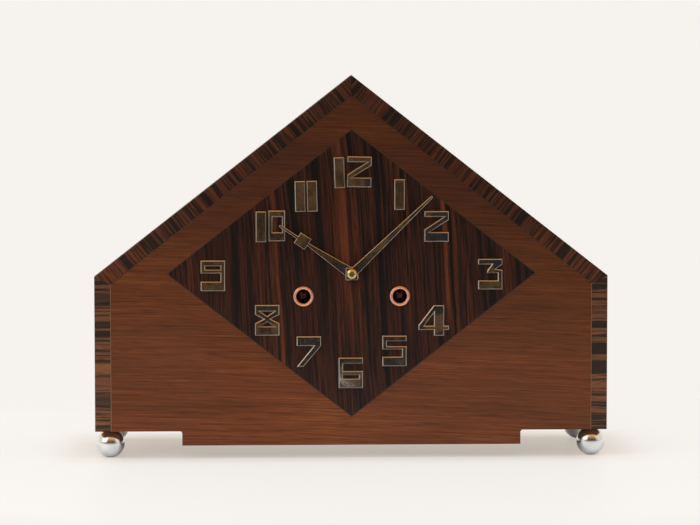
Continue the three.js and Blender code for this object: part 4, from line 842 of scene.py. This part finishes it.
def makeGong():
    low, high = nodeBox("gong")
    block = addBlock("gong_block", low, (low.x + gong["block"], high.y, high.z))
    work(block)
    pickFaces(block, lambda middle, normal: normal.z > 0.9)
    bpy.ops.mesh.inset(thickness=gong["inset"] * mm)
    bpy.ops.transform.translate(value=(0, 0, gong["rise"] * mm))
    softenEdges(block, gong["arris"])
    fit(block, "case", ironBlack, ["gong"])
    start, end, radius = low.x + gong["rodStart"], high.x, gong["rod"]
    profile = [(0, start), (radius, start), (radius, end - 0.3), (gong["rodTip"], end), (0, end)]
    for i, depth in enumerate(gong["rodDepths"], 1):
        place = (0, low.y + depth, high.z - gong["rodDrop"])
        rod = turnOnLathe(f"gong_rod_{i}", profile, place, (1, 0, 0), 24)
        fit(rod, "case", metalFinish(f"gongRodBronze_{i}", drawnBronze))


pillarNut = {"radius": 3.9, "bore": 1.9, "length": 2.6, "arris": 0.25, "plate": 2.0, "inset": 5.2, "rise": 8}


def makePillarNuts():
    # six-sided nuts that hold the back plate on the four pillars
    low, high = nodeBox("back_plate")
    back = low.y + pillarNut["plate"]
    length = pillarNut["length"]
    first = addPrism("pillar_nut", (0, back + length / 2, 0), pillarNut["radius"], length, 6)
    boolean(first, addPrism("thread", (0, back, 0), pillarNut["bore"], 4 * length, 32), "DIFFERENCE")
    softenEdges(first, pillarNut["arris"])
    inset = pillarNut["inset"]
    heights = {"low": low.z + inset + pillarNut["rise"], "high": high.z - inset}
    for level, height in heights.items():
        for side, x in (("left", low.x + inset), ("right", high.x - inset)):
            nut = copyPiece(first, f"pillar_nut_{level}_{side}", (x, 0, height))
            fit(nut, "case", brassTurned)
    bpy.data.objects.remove(first)


makePendulum()
makeGong()
makePillarNuts()
print("pendulum, gong and nuts made")


# Finishes of the parts kept from the frame
finishParts(fieldWood, "field_veneer")
finishParts(dialWood, "dial_diamond")
finishParts(frontWood, "front_panel", "base_board")
finishParts(backWood, "back_frame")
finishParts(numeralChrome, *[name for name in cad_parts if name.startswith("numeral_")])
for hand in ("minute_hand", "hour_hand"):
    finishParts(metalFinish("chromePlate_" + hand, thinChrome, face=nodeBox(hand)[0].y), hand)
finishParts(brassRolled, "front_plate", "back_plate")
finishParts(brassTurned, "going_barrel", "going_second_wheel", "centre_arbor", "third_wheel",
            "escape_wheel", "hour_wheel", "minute_wheel", "strike_barrel", "strike_second_wheel",
            "strike_third_wheel", "fly")
finishParts(steelPolished, "anchor", "hammers")
finishParts(steelDarkBrown, "going_winding_arbor", "strike_winding_arbor")


# Studio: distances are millimetres from the clock's middle, shares run from paper (0) to bright wall (1)
studio = {
    "wall": "#F6F2ED", "floor": "#EEF1F4", "shade": "#F3E9DC", "carpet": "#463A30",
    "floorFront": -710, "floorBack": 2600, "halfWidth": 3200, "carpetFrom": 505,
    # painted light: round the case the floor glows more for the camera, up to the share beside, lifting the
    # real shadow there; the least glow, under the clock, takes the warm shade colour as painted shade
    "glow": 0.5, "blendFrom": 90, "blendTo": 330, "fadeFrom": 250, "fadeTo": 500,
    "beside": 0.72, "besideFrom": 8, "besideTo": 34, "paperRough": 0.42, "carpetRough": 0.9, "gloss": 0.35,
}


def makeFloor():
    # white paper that the camera sees glow like the wall, least of all under the clock, where the glow is
    # tinted warm as painted shade, and rising just round the case as painted light over its shadow; in front
    # of it a brown carpet that only the chrome shows
    deselectAll()
    length = studio["floorBack"] - studio["floorFront"]
    bpy.ops.mesh.primitive_plane_add(size=1, location=(0, (studio["floorFront"] + length / 2) * mm, 0))
    bpy.ops.transform.resize(value=(2 * studio["halfWidth"] * mm, length * mm, 1))
    floor = nameNewPiece("studio_floor")
    material, tree, shader = startMaterial("paperSweep")
    spot = addNode(tree, "ShaderNodeTexCoord").outputs["Object"]
    depth = addNode(tree, "ShaderNodeSeparateXYZ", {"Vector": spot}).outputs["Y"]
    behind = addNode(tree, "ShaderNodeMapRange", {
        "Value": depth, "From Min": studio["blendFrom"] * mm, "From Max": studio["blendTo"] * mm,
        "To Min": studio["glow"]}, interpolation_type="SMOOTHSTEP")
    away = addNode(tree, "ShaderNodeVectorMath", {"Vector": spot}, operation="LENGTH").outputs["Value"]
    around = addNode(tree, "ShaderNodeMapRange", {
        "Value": away, "From Min": studio["fadeFrom"] * mm, "From Max": studio["fadeTo"] * mm},
        interpolation_type="SMOOTHSTEP")
    # painted light: outward from the case's sides and front the glow rises, lifting the real shadow round it
    footprint = ((caseHigh.x + studio["besideFrom"]) * mm, -dialFace * mm, 0)
    outside = addNode(tree, "ShaderNodeVectorMath", {0: spot}, operation="ABSOLUTE")
    outside = addNode(tree, "ShaderNodeVectorMath", {0: outside, 1: footprint}, operation="SUBTRACT")
    sides = addNode(tree, "ShaderNodeSeparateXYZ", {"Vector": outside}).outputs
    nearest = addNode(tree, "ShaderNodeMath", {0: sides["X"], 1: sides["Y"]}, operation="MAXIMUM")
    beside = addNode(tree, "ShaderNodeMapRange", {
        "Value": nearest, "From Min": 0.0, "From Max": studio["besideTo"] * mm, "To Min": studio["glow"],
        "To Max": studio["beside"]}, interpolation_type="SMOOTHSTEP")
    either = addNode(tree, "ShaderNodeMath", {0: behind, 1: around}, operation="MAXIMUM")
    either = addNode(tree, "ShaderNodeMath", {0: either, 1: beside}, operation="MAXIMUM")
    ahead = addNode(tree, "ShaderNodeMapRange", {  # the paper's front edge
        "Value": depth, "From Min": -studio["carpetFrom"] * mm, "From Max": (1 - studio["carpetFrom"]) * mm,
        "To Min": 1.0, "To Max": 0.0})
    paper, carpet = hexColour(studio["floor"]), hexColour(studio["carpet"])
    base = addNode(tree, "ShaderNodeMix", {0: ahead, 6: paper, 7: carpet}, data_type="RGBA").outputs[2]
    rough = addNode(tree, "ShaderNodeMapRange", {
        "Value": ahead, "To Min": studio["paperRough"], "To Max": studio["carpetRough"]})
    wire(tree, shader, {"Base Color": base, "Roughness": rough, "Specular IOR Level": studio["gloss"]})
    seen = addNode(tree, "ShaderNodeLightPath").outputs["Is Camera Ray"]
    share = addNode(tree, "ShaderNodeMath", {0: either, 1: seen}, operation="MULTIPLY")
    # painted shade: where the glow is least, under the clock, it is tinted warm, turning to the wall colour
    # further out
    far = addNode(tree, "ShaderNodeMapRange", {
        "Value": either, "From Min": studio["glow"], "From Max": studio["beside"]})
    haze = addNode(tree, "ShaderNodeMix", {
        0: far, 6: hexColour(studio["shade"]), 7: hexColour(studio["wall"])}, data_type="RGBA").outputs[2]
    wall = addNode(tree, "ShaderNodeEmission", {"Color": haze, "Strength": 1.0})
    mixed = addNode(tree, "ShaderNodeMixShader", {0: share, 1: shader, 2: wall})
    output = next(node for node in tree.nodes if node.type == "OUTPUT_MATERIAL")
    wire(tree, output, {"Surface": mixed})
    floor.data.materials.append(material)


# from ahead of the clock (0) round its sides (0.5) to behind it (1); "ahead" gives the patches of the dim
# part, and "lean" makes them lighter to the left
room = {
    "ring": [[0.02, "#000000"], [0.1, "#4A3C2E"], [0.3, "#C8C2BA"], [0.5, "#EAE2D5"],
             [0.75, studio["wall"]]],
    "ahead": [[0.36, "#343E4A"], [0.42, "#1E1A18"], [0.49, "#2A221E"], [0.53, "#7C5A3A"],
              [0.565, "#A2855F"], [0.61, "#4A3C30"]],
    "aheadSpan": (0.02, 0.09), "patches": 22.0, "lean": -1.1, "level": 0.03, "bounce": (1.0, 0.92, 0.8),
    "ceiling": "#DAD7D2", "ceilingInMetal": "#FFC078", "ceilingSpan": (0.3, 0.8),
}


def makeRoom():
    # a bright wall behind, pale sides, a warm ceiling, and a dim brown room ahead that the flat chromed
    # faces show
    world = bpy.data.worlds.new("room")
    bpy.context.scene.world = world
    world.use_nodes = True
    tree = world.node_tree
    tree.nodes.clear()
    direction = addNode(tree, "ShaderNodeTexCoord").outputs["Generated"]
    parts = addNode(tree, "ShaderNodeSeparateXYZ", {"Vector": direction}).outputs
    depth = addNode(tree, "ShaderNodeMapRange", {"Value": parts["Y"], "From Min": -1.0, "From Max": 1.0})
    ring = addNode(tree, "ShaderNodeValToRGB", {"Fac": depth})
    colourStops(ring, room["ring"])
    patches = addNode(tree, "ShaderNodeTexNoise", {
        "Vector": direction, "Scale": room["patches"], "Detail": 1.0})
    leftward = addNode(tree, "ShaderNodeMath", {0: parts["X"], 1: room["lean"], 2: room["level"]},
                       operation="MULTIPLY_ADD")
    patches = addNode(tree, "ShaderNodeMath", {0: patches, 1: leftward}, operation="ADD")
    front = addNode(tree, "ShaderNodeValToRGB", {"Fac": patches})
    colourStops(front, room["ahead"])
    ahead = addNode(tree, "ShaderNodeMapRange", {
        "Value": depth, "From Min": room["aheadSpan"][0], "From Max": room["aheadSpan"][1],
        "To Min": 1.0, "To Max": 0.0})
    around = addNode(tree, "ShaderNodeMix", {
        0: ahead, 6: ring, 7: front}, data_type="RGBA").outputs[2]
    seen = addNode(tree, "ShaderNodeLightPath").outputs
    # the light that the room throws back is warm, while metal shows the room's own colours
    warm = addNode(tree, "ShaderNodeVectorMath", {0: around, 1: room["bounce"]}, operation="MULTIPLY")
    around = addNode(tree, "ShaderNodeMix", {
        0: seen["Is Glossy Ray"], 6: warm, 7: around}, data_type="RGBA").outputs[2]
    ceiling = addNode(tree, "ShaderNodeMix", {
        0: seen["Is Glossy Ray"], 6: hexColour(room["ceiling"]), 7: hexColour(room["ceilingInMetal"])},
        data_type="RGBA").outputs[2]
    up = addNode(tree, "ShaderNodeMapRange", {
        "Value": parts["Z"], "From Min": room["ceilingSpan"][0],
        "From Max": room["ceilingSpan"][1]})
    colour = addNode(tree, "ShaderNodeMix", {0: up, 6: around, 7: ceiling}, data_type="RGBA").outputs[2]
    light = addNode(tree, "ShaderNodeBackground", {"Color": colour, "Strength": 1.0})
    wall = addNode(tree, "ShaderNodeBackground", {"Color": hexColour(studio["wall"]), "Strength": 1.0})
    both = addNode(tree, "ShaderNodeMixShader", {0: seen["Is Camera Ray"], 1: light, 2: wall})
    addNode(tree, "ShaderNodeOutputWorld", {"Surface": both})


# metres and watts; the last two are too flat to show in the chrome
softboxes = {
    "softboxLeft": {"place": (-1.4, -1.1, 1.0), "aim": (0, 0, 0.1), "size": (1.4, 1.2), "watts": 9,
                    "colour": "#FFFBF5", "inChrome": True},
    "softboxRight": {"place": (1.6, -1.0, 0.8), "aim": (0, 0, 0.1), "size": (1.2, 1.2), "watts": 1.5,
                     "colour": "#FFFBF6", "inChrome": True},
    "softboxTop": {"place": (0, -0.15, 1.6), "aim": (0, 0, 0), "size": (1.5, 1.0), "watts": 12.5,
                   "colour": "#F8FBFF", "inChrome": False},
    "softboxFront": {"place": (-0.3, -2.3, 1.3), "aim": (0, 0, 0.1), "size": (1.6, 1.0), "watts": 14,
                     "colour": "#FFFDFA", "inChrome": False},
}


def hangSoftboxes():
    for name, box in softboxes.items():
        lamp = bpy.data.lights.new(name, "AREA")
        lamp.shape, lamp.energy = "RECTANGLE", box["watts"]
        lamp.size, lamp.size_y = box["size"]
        lamp.color = hexColour(box["colour"])[:3]
        holder = bpy.data.objects.new(name, lamp)
        bpy.context.scene.collection.objects.link(holder)
        place = Vector(box["place"])
        holder.location = place
        holder.rotation_euler = (Vector(box["aim"]) - place).to_track_quat("-Z", "Y").to_euler()
        holder.visible_glossy = box["inChrome"]


# where the photograph was taken from: metres, degrees, and millimetres of film and lens
viewpoint = {"place": (-0.0893, -2.579, 0.3507), "down": 4.407, "roll": 0.04, "turn": -2.01,
             "film": 36, "lens": 162.6}


def makeCamera():
    data = bpy.data.cameras.new("camera")
    data.sensor_width, data.lens = viewpoint["film"], viewpoint["lens"]
    camera = bpy.data.objects.new("camera", data)
    bpy.context.scene.collection.objects.link(camera)
    camera.location = viewpoint["place"]
    camera.rotation_euler = (math.radians(90 - viewpoint["down"]), math.radians(viewpoint["roll"]),
                             math.radians(viewpoint["turn"]))
    bpy.context.scene.camera = camera


makeFloor()
makeRoom()
hangSoftboxes()
makeCamera()
bpy.context.scene.view_settings.view_transform = "Standard"
